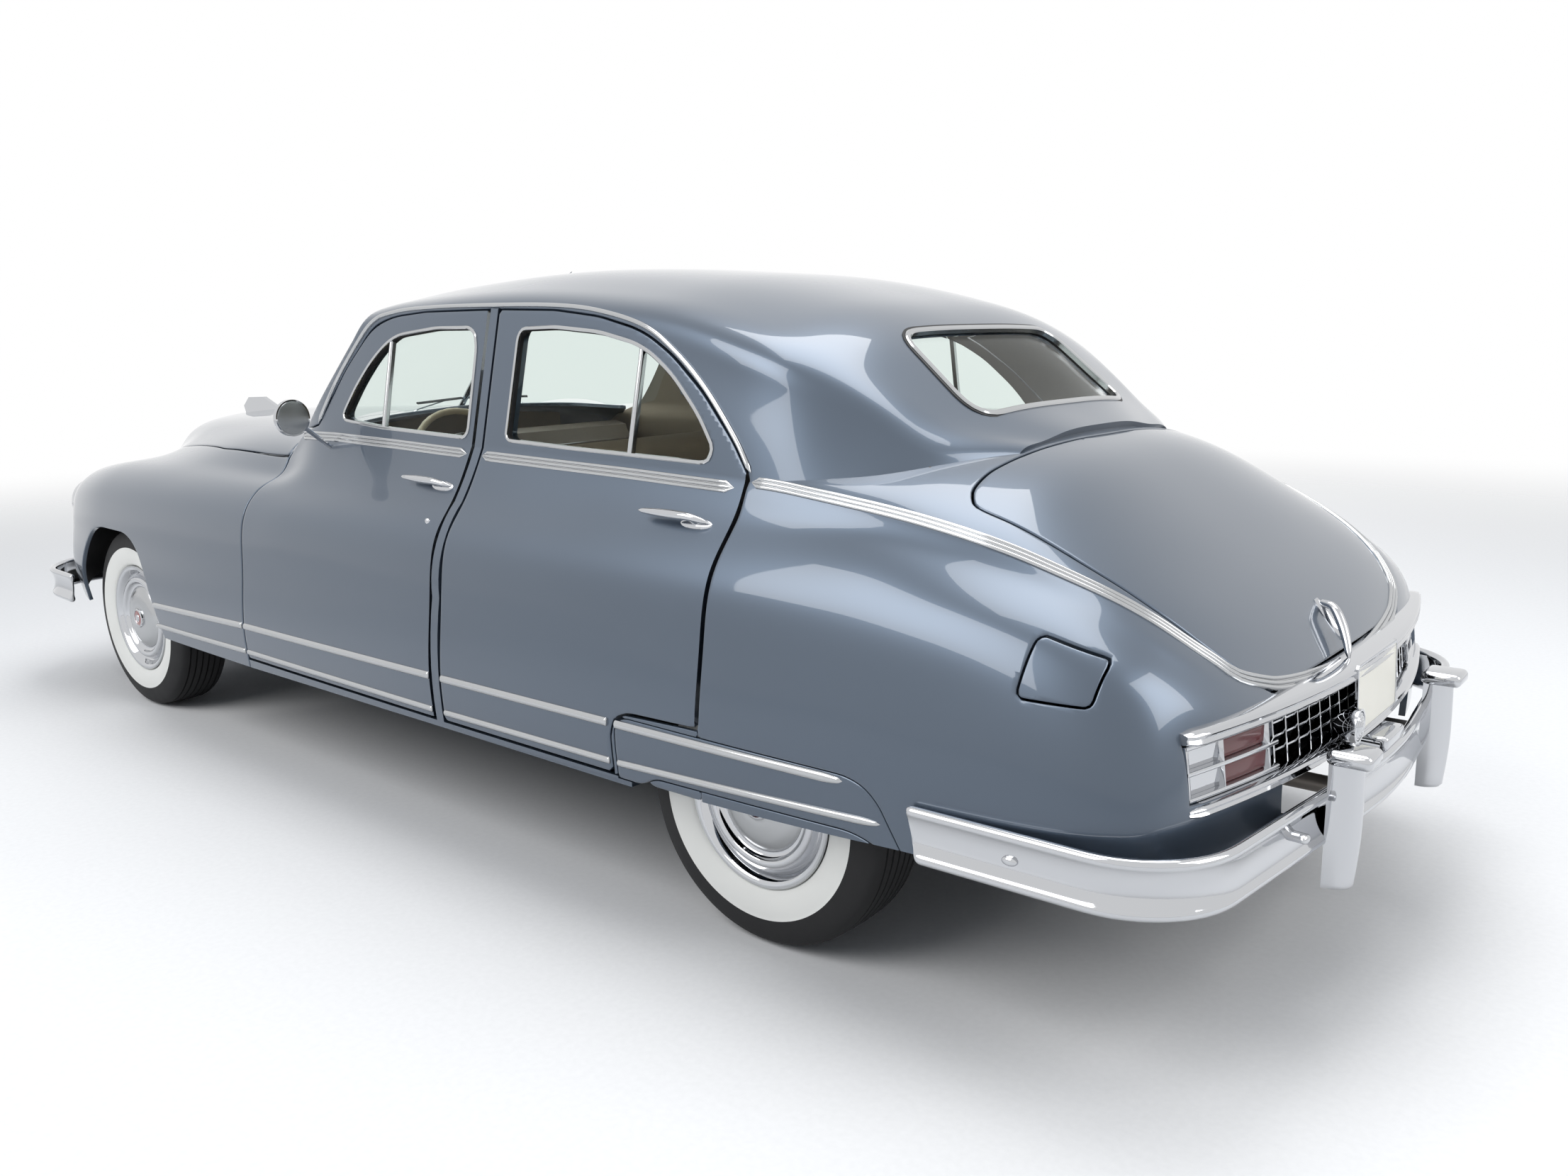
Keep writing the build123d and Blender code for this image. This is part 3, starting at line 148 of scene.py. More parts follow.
def unevenness_group():
    """What any finish shares: a slow noise and a fine one on the object's own place.
    They shift the colour's value and the roughness, and add up to a height."""
    group = bpy.data.node_groups.new("unevenness", "ShaderNodeTree")
    for way, labels in (("INPUT", ("Color", "Roughness", "Size", "Patches", "Grain")),
                        ("OUTPUT", ("Color", "Roughness", "Height"))):
        for label in labels:
            kind = "NodeSocketColor" if label == "Color" else "NodeSocketFloat"
            group.interface.new_socket(label, in_out=way, socket_type=kind)
    taken = group.nodes.new("NodeGroupInput").outputs
    given = group.nodes.new("NodeGroupOutput").inputs
    place = node(group, "TexCoord").outputs["Object"]
    slow = node(group, "TexNoise", {"Vector": place, "Scale": taken["Size"], "Detail": 3.0})
    finer = node(group, "Math", {0: taken["Size"], 1: 24.0}, operation="MULTIPLY")
    fine = node(group, "TexNoise", {"Vector": place, "Scale": finer.outputs[0], "Detail": 2.0})

    def swing(noise, amount, middle):
        """middle + (noise - 0.5) * amount"""
        wide = node(group, "Math", {0: noise.outputs["Fac"], 1: 0.5}, operation="SUBTRACT")
        return node(group, "Math", {0: wide.outputs[0], 1: amount, 2: middle},
                    operation="MULTIPLY_ADD").outputs[0]

    shade = node(group, "HueSaturation", {"Color": taken["Color"],
                                          "Value": swing(slow, taken["Patches"], 1.0)})
    group.links.new(shade.outputs["Color"], given["Color"])
    group.links.new(swing(slow, taken["Patches"], taken["Roughness"]), given["Roughness"])
    group.links.new(swing(fine, taken["Grain"], 0.5), given["Height"])
    return group


UNEVENNESS = unevenness_group()


def finish(name, color, roughness, metallic=0.0, size=6.0, patches=0.1, grain=0.2, depth=0.0004,
           **constants):
    """A material: the group's colour, roughness and height into one Principled shader."""
    material = bpy.data.materials.new(name)
    tree = emptied(material)
    uneven = node(tree, "Group", {"Color": (*color, 1), "Roughness": roughness, "Size": size,
                                  "Patches": patches, "Grain": grain},
                  node_tree=UNEVENNESS).outputs
    inputs = {"Metallic": metallic, "Base Color": uneven["Color"],
              "Roughness": uneven["Roughness"]}
    inputs.update((label.replace("_", " "), value) for label, value in constants.items())
    if depth:
        bump = node(tree, "Bump", {"Distance": depth, "Height": uneven["Height"]})
        inputs["Normal"] = bump.outputs["Normal"]
    shader = node(tree, "BsdfPrincipled", inputs)
    node(tree, "OutputMaterial", {"Surface": shader.outputs[0]})
    return material


def coat(name, *materials):
    """Give a CAD node's slots these materials."""
    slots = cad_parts[name].data.materials
    while len(slots) < len(materials):
        slots.append(None)
    for i in range(len(slots)):
        slots[i] = materials[min(i, len(materials) - 1)]


frame_black = finish("frame_black", (0.020, 0.020, 0.021), 0.55, size=9, patches=0.5, grain=0.6,
                     depth=0.001)
cast_iron = finish("cast_iron", (0.10, 0.105, 0.11), 0.6, 0.4, size=14, patches=0.6, grain=0.9,
                   depth=0.0015)
aluminised = finish("exhaust_steel", (0.22, 0.20, 0.18), 0.45, 0.8, size=7, patches=0.6)
tank_metal = finish("tank_metal", (0.16, 0.17, 0.17), 0.5, 0.5, size=6, patches=0.4)
for name, material in (("chassis_frame", frame_black), ("rear_axle", frame_black),
                       ("driveline", cast_iron), ("engine", cast_iron),
                       ("radiator", frame_black), ("knuckle_left", cast_iron),
                       ("knuckle_right", cast_iron), ("exhaust", aluminised),
                       ("fuel_tank", tank_metal)):
    coat(name, material)

# Tyres: wide whitewall crossply tyres with five ribs, the sidewall white from the rim to the
# shoulder and black outside it. Turned shapes, one to a wheel.
LEFT_AND_RIGHT = (("left", -1), ("right", 1))
HALF_TRACK, WHEEL_HEIGHT = 772.0, 356.0
WHEELS = [(f"{axle}_{side}", (1, sign, 1), (x, sign * HALF_TRACK, WHEEL_HEIGHT))
          for axle, x in (("front", -1763.0), ("rear", 1463.0))
          for side, sign in LEFT_AND_RIGHT]


def turned(profile, steps, closed=True):
    """Corners and faces of a profile of (out, radius) points carried round the Y axis.
    A point at angle a stands at x = radius sin a, z = radius cos a and y = out."""
    out, radius = np.array(profile, float).T
    angle = np.arange(steps) * 2 * np.pi / steps
    points = np.stack([np.outer(np.sin(angle), radius), np.broadcast_to(out, (steps, len(out))),
                       np.outer(np.cos(angle), radius)], axis=-1)
    count = len(out)
    a = np.arange(steps)[:, None]
    b = (a + 1) % steps
    i = np.arange(count if closed else count - 1)[None, :]
    j = (i + 1) % count
    faces = np.stack([a * count + i, a * count + j, b * count + j, b * count + i], axis=-1)
    return points.reshape(-1, 3), faces.reshape(-1, 4)


def turned_about_x(profile, steps, at=(0, 0, 0), closed=False):
    """The same with the axis along X, at a place."""
    points, faces = turned(profile, steps, closed)
    return points[:, [1, 0, 2]] + at, faces.tolist()


def piece(name, points, faces, body, slot, materials, which=None, sharp=32.0):
    """One object of the car. Points come in millimetres, doubles are merged, and edges
    that turn by more than sharp degrees stay sharp."""
    mesh = bpy.data.meshes.new(name)
    mesh.from_pydata((np.asarray(points, float) * MM).tolist(), [],
                     faces.tolist() if isinstance(faces, np.ndarray) else faces)
    for material in materials:
        mesh.materials.append(material)
    if which is not None:
        mesh.polygons.foreach_set("material_index", np.asarray(which, np.int32))
    draft = bmesh.new()
    draft.from_mesh(mesh)
    bmesh.ops.remove_doubles(draft, verts=draft.verts, dist=2e-6)
    bmesh.ops.dissolve_degenerate(draft, edges=draft.edges, dist=1e-6)
    bmesh.ops.recalc_face_normals(draft, faces=draft.faces)
    draft.to_mesh(mesh)
    draft.free()
    mesh.polygons.foreach_set("use_smooth", np.ones(len(mesh.polygons), bool))
    mesh.set_sharp_from_angle(angle=math.radians(sharp))
    made = bpy.data.objects.new(name, mesh)
    scene.collection.objects.link(made)
    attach(made, body)
    return made


def rounded(points, spacing=4.0):
    """A smooth line through the points: a Catmull-Rom curve sampled every spacing."""
    p = np.array(points, float)
    before = np.vstack([2 * p[0] - p[1], p[:-2], p[-2:-1]])[:len(p) - 1]
    after = np.vstack([p[2:], 2 * p[-1] - p[-2]])
    made = []
    for a, b, c, d in zip(before, p[:-1], p[1:], after):
        count = max(int(np.linalg.norm(c - b) / spacing), 1)
        t = np.linspace(0, 1, count, endpoint=False)[:, None]
        made.append(0.5 * (2 * b + (c - a) * t + (2 * a - 5 * b + 4 * c - d) * t ** 2
                           + (3 * b - a - 3 * c + d) * t ** 3))
    return np.vstack(made + [p[-1:]])


SHOULDER_RADIUS = 281.0
whitewall = rounded([(80, 207), (91, 214), (98, 232), (102.5, 256), (103, 278)], 7)
white_lip = [(104.0, SHOULDER_RADIUS), (103.6, 285)]
shoulder = rounded([(102.6, 290), (98, 312), (91.5, 331), (84, 343), (73, 350)], 7)
tread_ribs = []
for groove in (60, 36, 12, -12, -36, -60):
    tread_ribs += [(groove + 3.2, 355.2 - abs(groove) * 0.045), (groove + 2.2, 346.0),
                   (groove - 2.2, 346.0), (groove - 3.2, 355.2 - abs(groove) * 0.045)]
outside = np.vstack([whitewall, white_lip, shoulder])
inside = outside[::-1] * (-1, 1)
tyre_profile = np.vstack([outside, tread_ribs, inside])
white_rows = len(whitewall) + 1
rubber = finish("tyre_rubber", (0.016, 0.016, 0.017), 0.68, size=12, patches=0.3, grain=0.5,
                depth=0.0006, Specular_IOR_Level=0.3)
white_rubber = finish("white_rubber", (0.74, 0.74, 0.71), 0.55, size=5, patches=0.10,
                      grain=0.3, depth=0.0003)
TYRE_STEPS = 128
tyre_points, tyre_faces = turned(tyre_profile, TYRE_STEPS)
row = np.tile(np.arange(len(tyre_profile)), TYRE_STEPS)
far_row = len(tyre_profile) - 1 - row
is_white = (row < white_rows - 1) | (far_row <= white_rows - 1) & (far_row > 0)
for corner, flip, at in WHEELS:
    made = piece(f"tyre_{corner}_dressed", tyre_points * flip + at, tyre_faces,
                 f"wheel_{corner}", "tyre", [rubber, white_rubber], is_white)
    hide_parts(f"tyre_{corner}")

# Wheels: a steel disc under a flat silver cover, with a bright turned trim ring and a plain
# round medallion of red enamel in a chrome rim. The brake drum shows behind.
chrome = finish("chrome", (0.55, 0.56, 0.58), 0.05, 1.0, size=2.5, patches=0.05, grain=0.0,
                depth=0)
silver = finish("silver_disc", (0.46, 0.47, 0.48), 0.20, 1.0, size=4, patches=0.06, depth=0)
red_enamel = finish("red_enamel", (0.24, 0.035, 0.03), 0.15, size=8, Coat_Weight=1.0)
drum_iron = finish("brake_drum", (0.05, 0.05, 0.052), 0.5, 0.5, size=9, patches=0.4)
disc_profile = [(20, 0), (20, 150), (-20, 176), (-66, 182), (-84, 186), (-90, 200), (-93, 206),
                (-90, 209), (-84, 207), (-80, 195), (80, 195), (85, 208), (90, 208.6),
                (93, 206), (92.5, 200)]
trim_ring = rounded([(92.5, 200), (90, 192), (79, 183), (69, 176), (66, 171)], 3)
step_ring = rounded([(66, 171), (70, 166), (80, 163), (87, 157), (88, 150), (86, 142),
                     (78, 137), (73, 131), (72, 124)], 3)
cover_dish = rounded([(72, 124), (78, 117), (88, 96), (93, 62), (94, 42), (95, 38)], 4)
medallion = [(95, 38), (99.5, 37), (101.5, 34), (101.5, 30.5), (98.5, 29)]
enamel = [(98.5, 29), (99.5, 18), (100, 14)]
boss = [(100, 14), (102.5, 12.5), (103.4, 8), (103.6, 0)]
regions = ((disc_profile, 3), (trim_ring, 0), (step_ring, 0), (cover_dish, 1), (medallion, 0),
           (enamel, 2), (boss, 0))
wheel_profile = np.vstack([np.array(part, float) for part, _ in regions])
wheel_regions = np.concatenate([np.full(len(part), index) for part, index in regions])
wheel_points, wheel_faces = turned(wheel_profile, TYRE_STEPS, closed=False)
drum_points, drum_faces = turned([(19, 0.01), (-62, 0.01), (-62, 146), (-58, 150), (12, 150),
                                  (19, 142)], 64, closed=False)
for corner, flip, at in WHEELS:
    made = piece(f"wheel_{corner}_dressed", wheel_points * flip + at, wheel_faces,
                 f"wheel_{corner}", "wheel", [chrome, silver, red_enamel, silver],
                 np.tile(wheel_regions[:-1], TYRE_STEPS), sharp=40)
    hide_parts(f"wheel_{corner}")
    piece(f"brake_drum_{corner}", drum_points * flip + at, drum_faces, f"wheel_{corner}",
          "cast", [drum_iron])

# Doors: four front-hinged steel doors, pressed skins with rolled rims and cloth cards inside.
# Their skin is the body side itself, so the whole side's stations come first, as
# x and then y,z at sill, waist, side, shoulder, ledge, fall and belt.
BODY_SIDE = [
    (-2562, 560, 470, 585, 545, 575, 640, 540, 720, 470, 760, 400, 780, 300, 800),
    (-2520, 690, 440, 715, 540, 700, 660, 670, 765, 590, 815, 470, 830, 330, 850),
    (-2440, 785, 410, 810, 530, 795, 670, 762, 800, 680, 862, 510, 872, 370, 888),
    (-2280, 860, 385, 884, 520, 868, 680, 835, 830, 745, 900, 580, 912, 430, 930),
    (-1885, 925, 360, 940, 505, 922, 690, 888, 870, 800, 938, 670, 965, 548, 1002),
    (-1300, 950, 350, 962, 490, 944, 700, 908, 885, 828, 950, 752, 985, 678, 1034),
    (-703, 962, 350, 972, 480, 955, 700, 918, 893, 850, 955, 788, 985, 748, 1045),
    (-450, 966, 353, 976, 485, 958, 705, 922, 897, 858, 968, 812, 1040, 783, 1132),
    (-120, 970, 356, 980, 490, 961, 715, 925, 900, 864, 978, 822, 1050, 789, 1136),
    (368, 975, 360, 984, 495, 964, 730, 926, 905, 869, 985, 826, 1058, 791, 1130),
    (950, 975, 368, 984, 505, 963, 735, 924, 907, 867, 986, 825, 1045, 791, 1112),
    (1392, 972, 376, 983, 512, 958, 742, 918, 907, 856, 989, 822, 1035, 791, 1098),
    (1742, 966, 388, 976, 516, 951, 745, 905, 905, 838, 985, 803, 1018, 773, 1056),
    (1960, 958, 398, 968, 518, 941, 742, 888, 893, 818, 960, 786, 988, 756, 1020),
    (2181, 944, 400, 954, 520, 925, 732, 866, 858, 788, 910, 752, 926, 720, 943),
    (2320, 925, 402, 934, 525, 902, 716, 838, 818, 752, 856, 720, 868, 688, 876),
    (2410, 890, 410, 899, 530, 860, 690, 790, 772, 712, 800, 680, 808, 640, 812),
    (2470, 830, 420, 838, 538, 785, 655, 715, 712, 640, 738, 600, 744, 550, 748),
    (2512, 690, 430, 700, 540, 655, 622, 590, 664, 510, 682, 470, 686, 420, 690),
    (2536, 430, 440, 440, 545, 420, 600, 380, 630, 320, 642, 290, 645, 260, 648),
]
# The greenhouse: x, then y,z at base, gutter, cant and crown, then the top's z
GREENHOUSE = [
    (-860, 735, 1030, 690, 1290, 590, 1325, 430, 1345, 1360),
    (-703, 748, 1045, 697, 1360, 590, 1395, 430, 1418, 1432),
    (-450, 783, 1132, 714, 1440, 600, 1488, 430, 1518, 1535),
    (-120, 789, 1136, 708, 1494, 600, 1546, 430, 1580, 1602),
    (368, 791, 1130, 706, 1508, 600, 1564, 430, 1603, 1628),
    (950, 791, 1112, 712, 1468, 600, 1530, 430, 1570, 1597),
    (1392, 803, 1040, 732, 1362, 615, 1440, 400, 1490, 1506),
    (1500, 790, 1040, 706, 1320, 590, 1396, 370, 1440, 1454),
    (1640, 745, 1040, 640, 1250, 520, 1302, 340, 1335, 1348),
    (1776, 680, 1040, 590, 1158, 460, 1208, 300, 1236, 1248),
    (1890, 480, 1040, 390, 1150, 300, 1172, 180, 1186, 1192),
]
STATION_STEP = 10.0
EVENING = 42.0


def smoothed(table):
    """A table's columns as lines along the car. Between stations runs a cubic whose slope at a
    station is the harmonic mean of the slopes beside it; then a bell weight evens the bends."""
    table = np.array(table, float)
    xs, columns = table[:, 0], table[:, 1:]
    step = np.diff(columns, axis=0) / np.diff(xs)[:, None]
    before, after = step[:-1], step[1:]
    agree = before * after > 0
    mean = np.where(agree, 2 * before * after / np.where(agree, before + after, 1), 0)
    slope = np.vstack([step[:1], mean, step[-1:]])
    x = np.linspace(xs[0], xs[-1], int((xs[-1] - xs[0]) / STATION_STEP) + 1)
    i = np.clip(np.searchsorted(xs, x, side="right") - 1, 0, len(xs) - 2)
    span = np.diff(xs)[i][:, None]
    t = (x - xs[i])[:, None] / span
    value = ((1 + 2 * t) * (1 - t) ** 2 * columns[i] + t * (1 - t) ** 2 * span * slope[i]
             + t ** 2 * (3 - 2 * t) * columns[i + 1] + t ** 2 * (t - 1) * span * slope[i + 1])
    reach = int(3 * EVENING / STATION_STEP)
    bell = np.exp(-0.5 * (np.arange(-reach, reach + 1) * STATION_STEP / EVENING) ** 2)
    bell /= bell.sum()
    low = 2 * value[0] - value[reach:0:-1]
    high = 2 * value[-1] - value[-2:-reach - 2:-1]
    padded = np.vstack([low, value, high])
    even = np.stack([np.convolve(line, bell, "valid") for line in padded.T], axis=1)
    return x, even


def columns_at(lines, x):
    """The smoothed columns at each x, as rows."""
    return np.stack([np.interp(x, lines[0], line) for line in lines[1].T], axis=-1)


def through_points(knots, steps):
    """Smooth curves through rows of points, (row, knot, 2): cubics joined with equal slope and
    bend, measured by the distance between knots, with steps samples in each span."""
    count = knots.shape[1]
    gaps = np.linalg.norm(np.diff(knots, axis=1), axis=2)
    system = np.zeros((len(knots), count, count))
    wanted = np.zeros_like(knots)
    system[:, 0, 0] = system[:, -1, -1] = 1
    for i in range(1, count - 1):
        system[:, i, i - 1] = gaps[:, i - 1]
        system[:, i, i] = 2 * (gaps[:, i - 1] + gaps[:, i])
        system[:, i, i + 1] = gaps[:, i]
        wanted[:, i] = 6 * ((knots[:, i + 1] - knots[:, i]) / gaps[:, i, None]
                            - (knots[:, i] - knots[:, i - 1]) / gaps[:, i - 1, None])
    bend = np.linalg.solve(system, wanted)
    made = []
    for i, number in enumerate(steps):
        t = (np.arange(number) / number)[None, :, None]
        square = gaps[:, i, None, None] ** 2 / 6
        made.append((1 - t) * knots[:, i, None] + t * knots[:, i + 1, None]
                    + ((1 - t) ** 3 - (1 - t)) * square * bend[:, i, None]
                    + (t ** 3 - t) * square * bend[:, i + 1, None])
    return np.concatenate(made + [knots[:, -1:]], axis=1)


SIDE_LINES = smoothed(BODY_SIDE)
ROOF_LINES = smoothed(GREENHOUSE)
SIDE_STEPS = (10, 16, 14, 7, 6, 5, 4)


def side_knots(x):
    """The seven knots of the right side at each x."""
    return columns_at(SIDE_LINES, x).reshape(len(x), 7, 2)


def spread(x, flat):
    """Rows of (y, z) at each x made into points."""
    return np.concatenate([np.broadcast_to(x[:, None, None], (*flat.shape[:2], 1)), flat], axis=2)


def door_surface(x):
    """The right side from the sill to the belt, and the flat glass plane up to the gutter."""
    low = through_points(side_knots(x), SIDE_STEPS[:6])
    roof = columns_at(ROOF_LINES, x)
    belt = low[:, -1:]
    gutter = roof[:, None, 2:4] + (roof[:, None, 2:4] - belt) * 0.06
    t = (np.arange(1, 33) / 32)[None, :, None]
    return spread(x, np.concatenate([low, belt + (gutter - belt) * t], axis=1))


def softened(corners, radius, easy=500.0):
    """A closed outline with each corner turned on a short curve: radius at a sharp corner and
    easy at a slight one, or less where its sides are short."""
    c = np.array(corners, float)
    back, on = np.roll(c, 1, axis=0) - c, np.roll(c, -1, axis=0) - c
    back_length, on_length = (np.linalg.norm(v, axis=1) for v in (back, on))
    back, on = back / back_length[:, None], on / on_length[:, None]
    half_turn = (np.pi - np.arccos(np.clip((back * on).sum(1), -1, 1))) / 2
    size = np.where(half_turn > math.radians(19), radius, easy)
    tangent = np.minimum(size * np.tan(half_turn), 0.48 * np.minimum(back_length, on_length))
    start, stop = c + back * tangent[:, None], c + on * tangent[:, None]
    t = np.linspace(0, 1, 7)[None, :, None]
    curve = ((1 - t) ** 2 * start[:, None] + 2 * t * (1 - t) * c[:, None]
             + t ** 2 * stop[:, None])
    return curve.reshape(-1, 2)


def walked(path):
    """How far along a path each of its points lies."""
    return np.concatenate([[0], np.cumsum(np.linalg.norm(np.diff(path, axis=0), axis=1))])


def within(outline, flat):
    """How far each (n, 2) point lies inside a closed outline, less than nought outside it."""
    a = outline
    edge = np.roll(a, -1, axis=0) - a
    from_a = flat[:, None] - a
    along = np.clip((from_a * edge).sum(2) / np.maximum((edge ** 2).sum(1), 1e-9), 0, 1)
    distance = np.linalg.norm(from_a - along[..., None] * edge, axis=2).min(axis=1)
    b = np.roll(a, -1, axis=0)
    spans = (a[:, 1] > flat[:, 1:]) != (b[:, 1] > flat[:, 1:])
    rise = np.where(np.abs(edge[:, 1]) < 1e-9, 1e-9, edge[:, 1])
    crossing = flat[:, :1] < a[:, 0] + (flat[:, 1:] - a[:, 1]) * edge[:, 0] / rise
    inside = (spans & crossing).sum(axis=1) % 2 == 1
    return np.where(inside, distance, -distance)


def cut_at(corners, faces, level):
    """Splits the triangles that cross the line where the last column equals level."""
    gap = corners[:, -1] - level
    gap[np.abs(gap) < 0.02] = 0.0
    over = gap[faces] >= 0
    crossed = over.any(axis=1) & ~over.all(axis=1)
    cut, over = faces[crossed], over[crossed]
    alone = np.where(over.sum(axis=1) == 1, over.argmax(axis=1), over.argmin(axis=1))
    turned_faces = np.take_along_axis(cut, (alone[:, None] + np.arange(3)) % 3, axis=1)
    a, b, c = turned_faces.T
    pairs = np.sort(np.concatenate([np.stack([a, b], 1), np.stack([a, c], 1)]), axis=1)
    unique, where = np.unique(pairs, axis=0, return_inverse=True)
    where = where.ravel()
    low, high = gap[unique[:, 0]], gap[unique[:, 1]]
    share = (low / (low - high))[:, None]
    fresh = corners[unique[:, 0]] * (1 - share) + corners[unique[:, 1]] * share
    fresh[:, -1] = level
    p = len(corners) + where[:len(cut)]
    q = len(corners) + where[len(cut):]
    made = np.concatenate([np.stack(t, 1) for t in ((a, p, q), (p, b, c), (p, c, q))])
    return np.vstack([corners, fresh]), np.vstack([faces[~crossed], made])


def panel(surface, inside, wall, roll=3.0):
    """A pressed panel out of a grid of points (along, across, 3). It ends where inside falls to
    nought, its rim rolls in over roll, and wall(points, normals) moves its inner skin.
    Returns points, faces, and 0 for the outer skin and rims, 1 for the inner skin."""
    rows, across = surface.shape[:2]
    along_step = np.gradient(surface, axis=0)
    across_step = np.gradient(surface, axis=1)
    normal = np.cross(across_step, along_step).reshape(-1, 3)
    normal /= np.maximum(np.linalg.norm(normal, axis=1), 1e-9)[:, None]
    points = surface.reshape(-1, 3)
    depth = inside(points)
    corners = np.column_stack([points, normal, depth])
    i, j = np.meshgrid(np.arange(rows - 1), np.arange(across - 1), indexing="ij")
    a = (i * across + j).ravel()
    quads = np.stack([a, a + 1, a + across + 1, a + across], axis=1)
    faces = np.vstack([quads[:, [0, 1, 2]], quads[:, [0, 2, 3]]])
    faces = faces[depth[faces].max(axis=1) > 0]
    for share in (1.0, 0.45, 0.12, 0.0):
        corners, faces = cut_at(corners, faces, roll * share)
    faces = faces[corners[faces, -1].min(axis=1) >= -1e-6]
    used, faces = np.unique(faces, return_inverse=True)
    faces = faces.reshape(-1, 3)
    corners = corners[used]
    points, normal, depth = corners[:, :3], corners[:, 3:6], corners[:, 6]
    normal = normal / np.linalg.norm(normal, axis=1)[:, None]
    short = np.clip(roll - depth, 0, roll)
    outer = points - normal * (roll - np.sqrt(roll ** 2 - short ** 2))[:, None]
    inner = points + wall(points, normal)
    edges = np.concatenate([faces[:, [0, 1]], faces[:, [1, 2]], faces[:, [2, 0]]])
    _, first, uses = np.unique(np.sort(edges, axis=1), axis=0, return_index=True,
                               return_counts=True)
    rim = edges[first[uses == 1]]
    count = len(outer)
    rim_faces = [[b, a, a + count, b + count] for a, b in rim.tolist()]
    all_faces = faces.tolist() + (faces[:, ::-1] + count).tolist() + rim_faces
    which = np.concatenate([np.zeros(len(faces)), np.ones(len(faces)), np.zeros(len(rim))])
    return np.vstack([outer, inner]), all_faces, which.astype(np.int32)


def pressed(name, grid, inside, wall, body="car", back=None, sign=1, sharp=38.0, roll=3.0):
    """A painted panel as a piece of its own, its inner skin in the back material."""
    points, faces, which = panel(grid, inside, wall, roll)
    return piece(name, points * (1, sign, 1), faces, body, "paint", [paint, back or frame_black],
                 which, sharp)


paint = finish("steel_blue_paint", (0.078, 0.104, 0.142), 0.34, 0.72, size=2.2, patches=0.05,
               grain=0.0, depth=0, Coat_Weight=1.0, Coat_Roughness=0.03, Coat_IOR=1.45)
door_cloth = finish("tan_door_cloth", (0.27, 0.22, 0.165), 0.85, size=30, patches=0.10,
                    grain=0.9, depth=0.0008)
DOOR_OUTLINES = {
    "front": softened([(-703, 385), (-703, 1042), (-600, 1125), (-462, 1156), (-333, 1334),
                       (-211, 1458), (-109, 1490), (60, 1502), (363, 1503), (363, 385)], 11),
    "rear": softened([(410, 385), (410, 1503), (640, 1497), (816, 1478), (986, 1440),
                      (1099, 1380), (1213, 1296), (1326, 1186), (1385, 1112), (1385, 556),
                      (1155, 550), (1112, 530), (1094, 490), (1094, 385)], 11),
}
WINDOW_OUTLINES = {
    "front": softened([(-330, 1180), (-262, 1285), (-185, 1372), (-90, 1436), (120, 1457),
                       (285, 1457), (312, 1440), (326, 1400), (333, 1170), (318, 1152),
                       (-100, 1164)], 26),
    "rear": softened([(503, 1165), (504, 1430), (518, 1452), (649, 1455), (825, 1441),
                      (993, 1407), (1108, 1338), (1213, 1243), (1268, 1172), (1262, 1142),
                      (1240, 1134), (754, 1145), (516, 1153)], 26),
}
DOOR_SPANS = {"front": (-708.0, 368.0), "rear": (405.0, 1390.0)}
DOOR_REAR = {"front": 363.0, "rear": 1385.0}
DOOR_GAP = 6.0
SIDE_PLAN = [0, 2]
MIRRORED = np.array((1, -1, 1))


def door_wall(rear_edge):
    """Doors are 74 mm deep below the belt and 38 mm round the glass. The inner skin stops
    short of the rear edge, where the outer one laps the pillar."""
    def wall(points, normal):
        """How far the inner skin stands from each point."""
        height = np.clip((points[:, 2] - 1085) / 60, 0, 1)
        inward = 74 + (38 - 74) * height * height * (3 - 2 * height)
        near_rear = np.clip((points[:, 0] - rear_edge + 110) / 110, 0, 1)
        return np.stack([-25 * near_rear ** 2, -inward, 0 * inward], axis=1)
    return wall


for label, outline in DOOR_OUTLINES.items():
    start, stop = DOOR_SPANS[label]
    window = WINDOW_OUTLINES[label]

    def inside(points):
        """How far a point lies inside the door and outside its window."""
        flat = points[:, SIDE_PLAN]
        return np.minimum(within(outline, flat) + 0.7, -within(window, flat))

    made_points, made_faces, which = panel(door_surface(np.arange(start, stop, 15.0)), inside,
                                           door_wall(DOOR_REAR[label]))
    for side, sign in LEFT_AND_RIGHT:
        door = piece(f"door_{label}_{side}_dressed", made_points * (1, sign, 1), made_faces,
                     f"door_{label}_{side}", "paint", [paint, door_cloth], which, sharp=38)
        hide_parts(f"door_{label}_{side}")

# Rear body: quarters, deck and tail welded in one shell. Above the belt its stations have a
# flank, a crown and a top: x, then y,z of the first two and the z of the last.
DECK = [
    (1392, 690, 1150, 430, 1195, 1215), (1742, 690, 1112, 430, 1178, 1204),
    (1960, 665, 1070, 430, 1132, 1158), (2181, 635, 972, 430, 1008, 1024),
    (2320, 600, 892, 400, 908, 914), (2410, 540, 822, 350, 833, 838),
    (2470, 450, 754, 300, 762, 766), (2512, 340, 694, 220, 700, 704),
    (2536, 210, 651, 140, 655, 658),
]
DECK_LINES = smoothed(DECK)
DECK_STEPS = SIDE_STEPS[:6] + (10, 16, 22)


def full_section(x, top_lines):
    """Both sides of the body at each x, joined over the top: side, flank, crown and top knots
    and their mirror images in one smooth curve."""
    top = columns_at(top_lines, x)
    right = np.concatenate([side_knots(x), top[:, :4].reshape(-1, 2, 2)], axis=1)
    middle = np.stack([0 * top[:, 4], top[:, 4]], axis=1)[:, None]
    knots = np.concatenate([right, middle, right[:, ::-1] * (-1, 1)], axis=1)
    return spread(x, through_points(knots, DECK_STEPS + DECK_STEPS[::-1]))


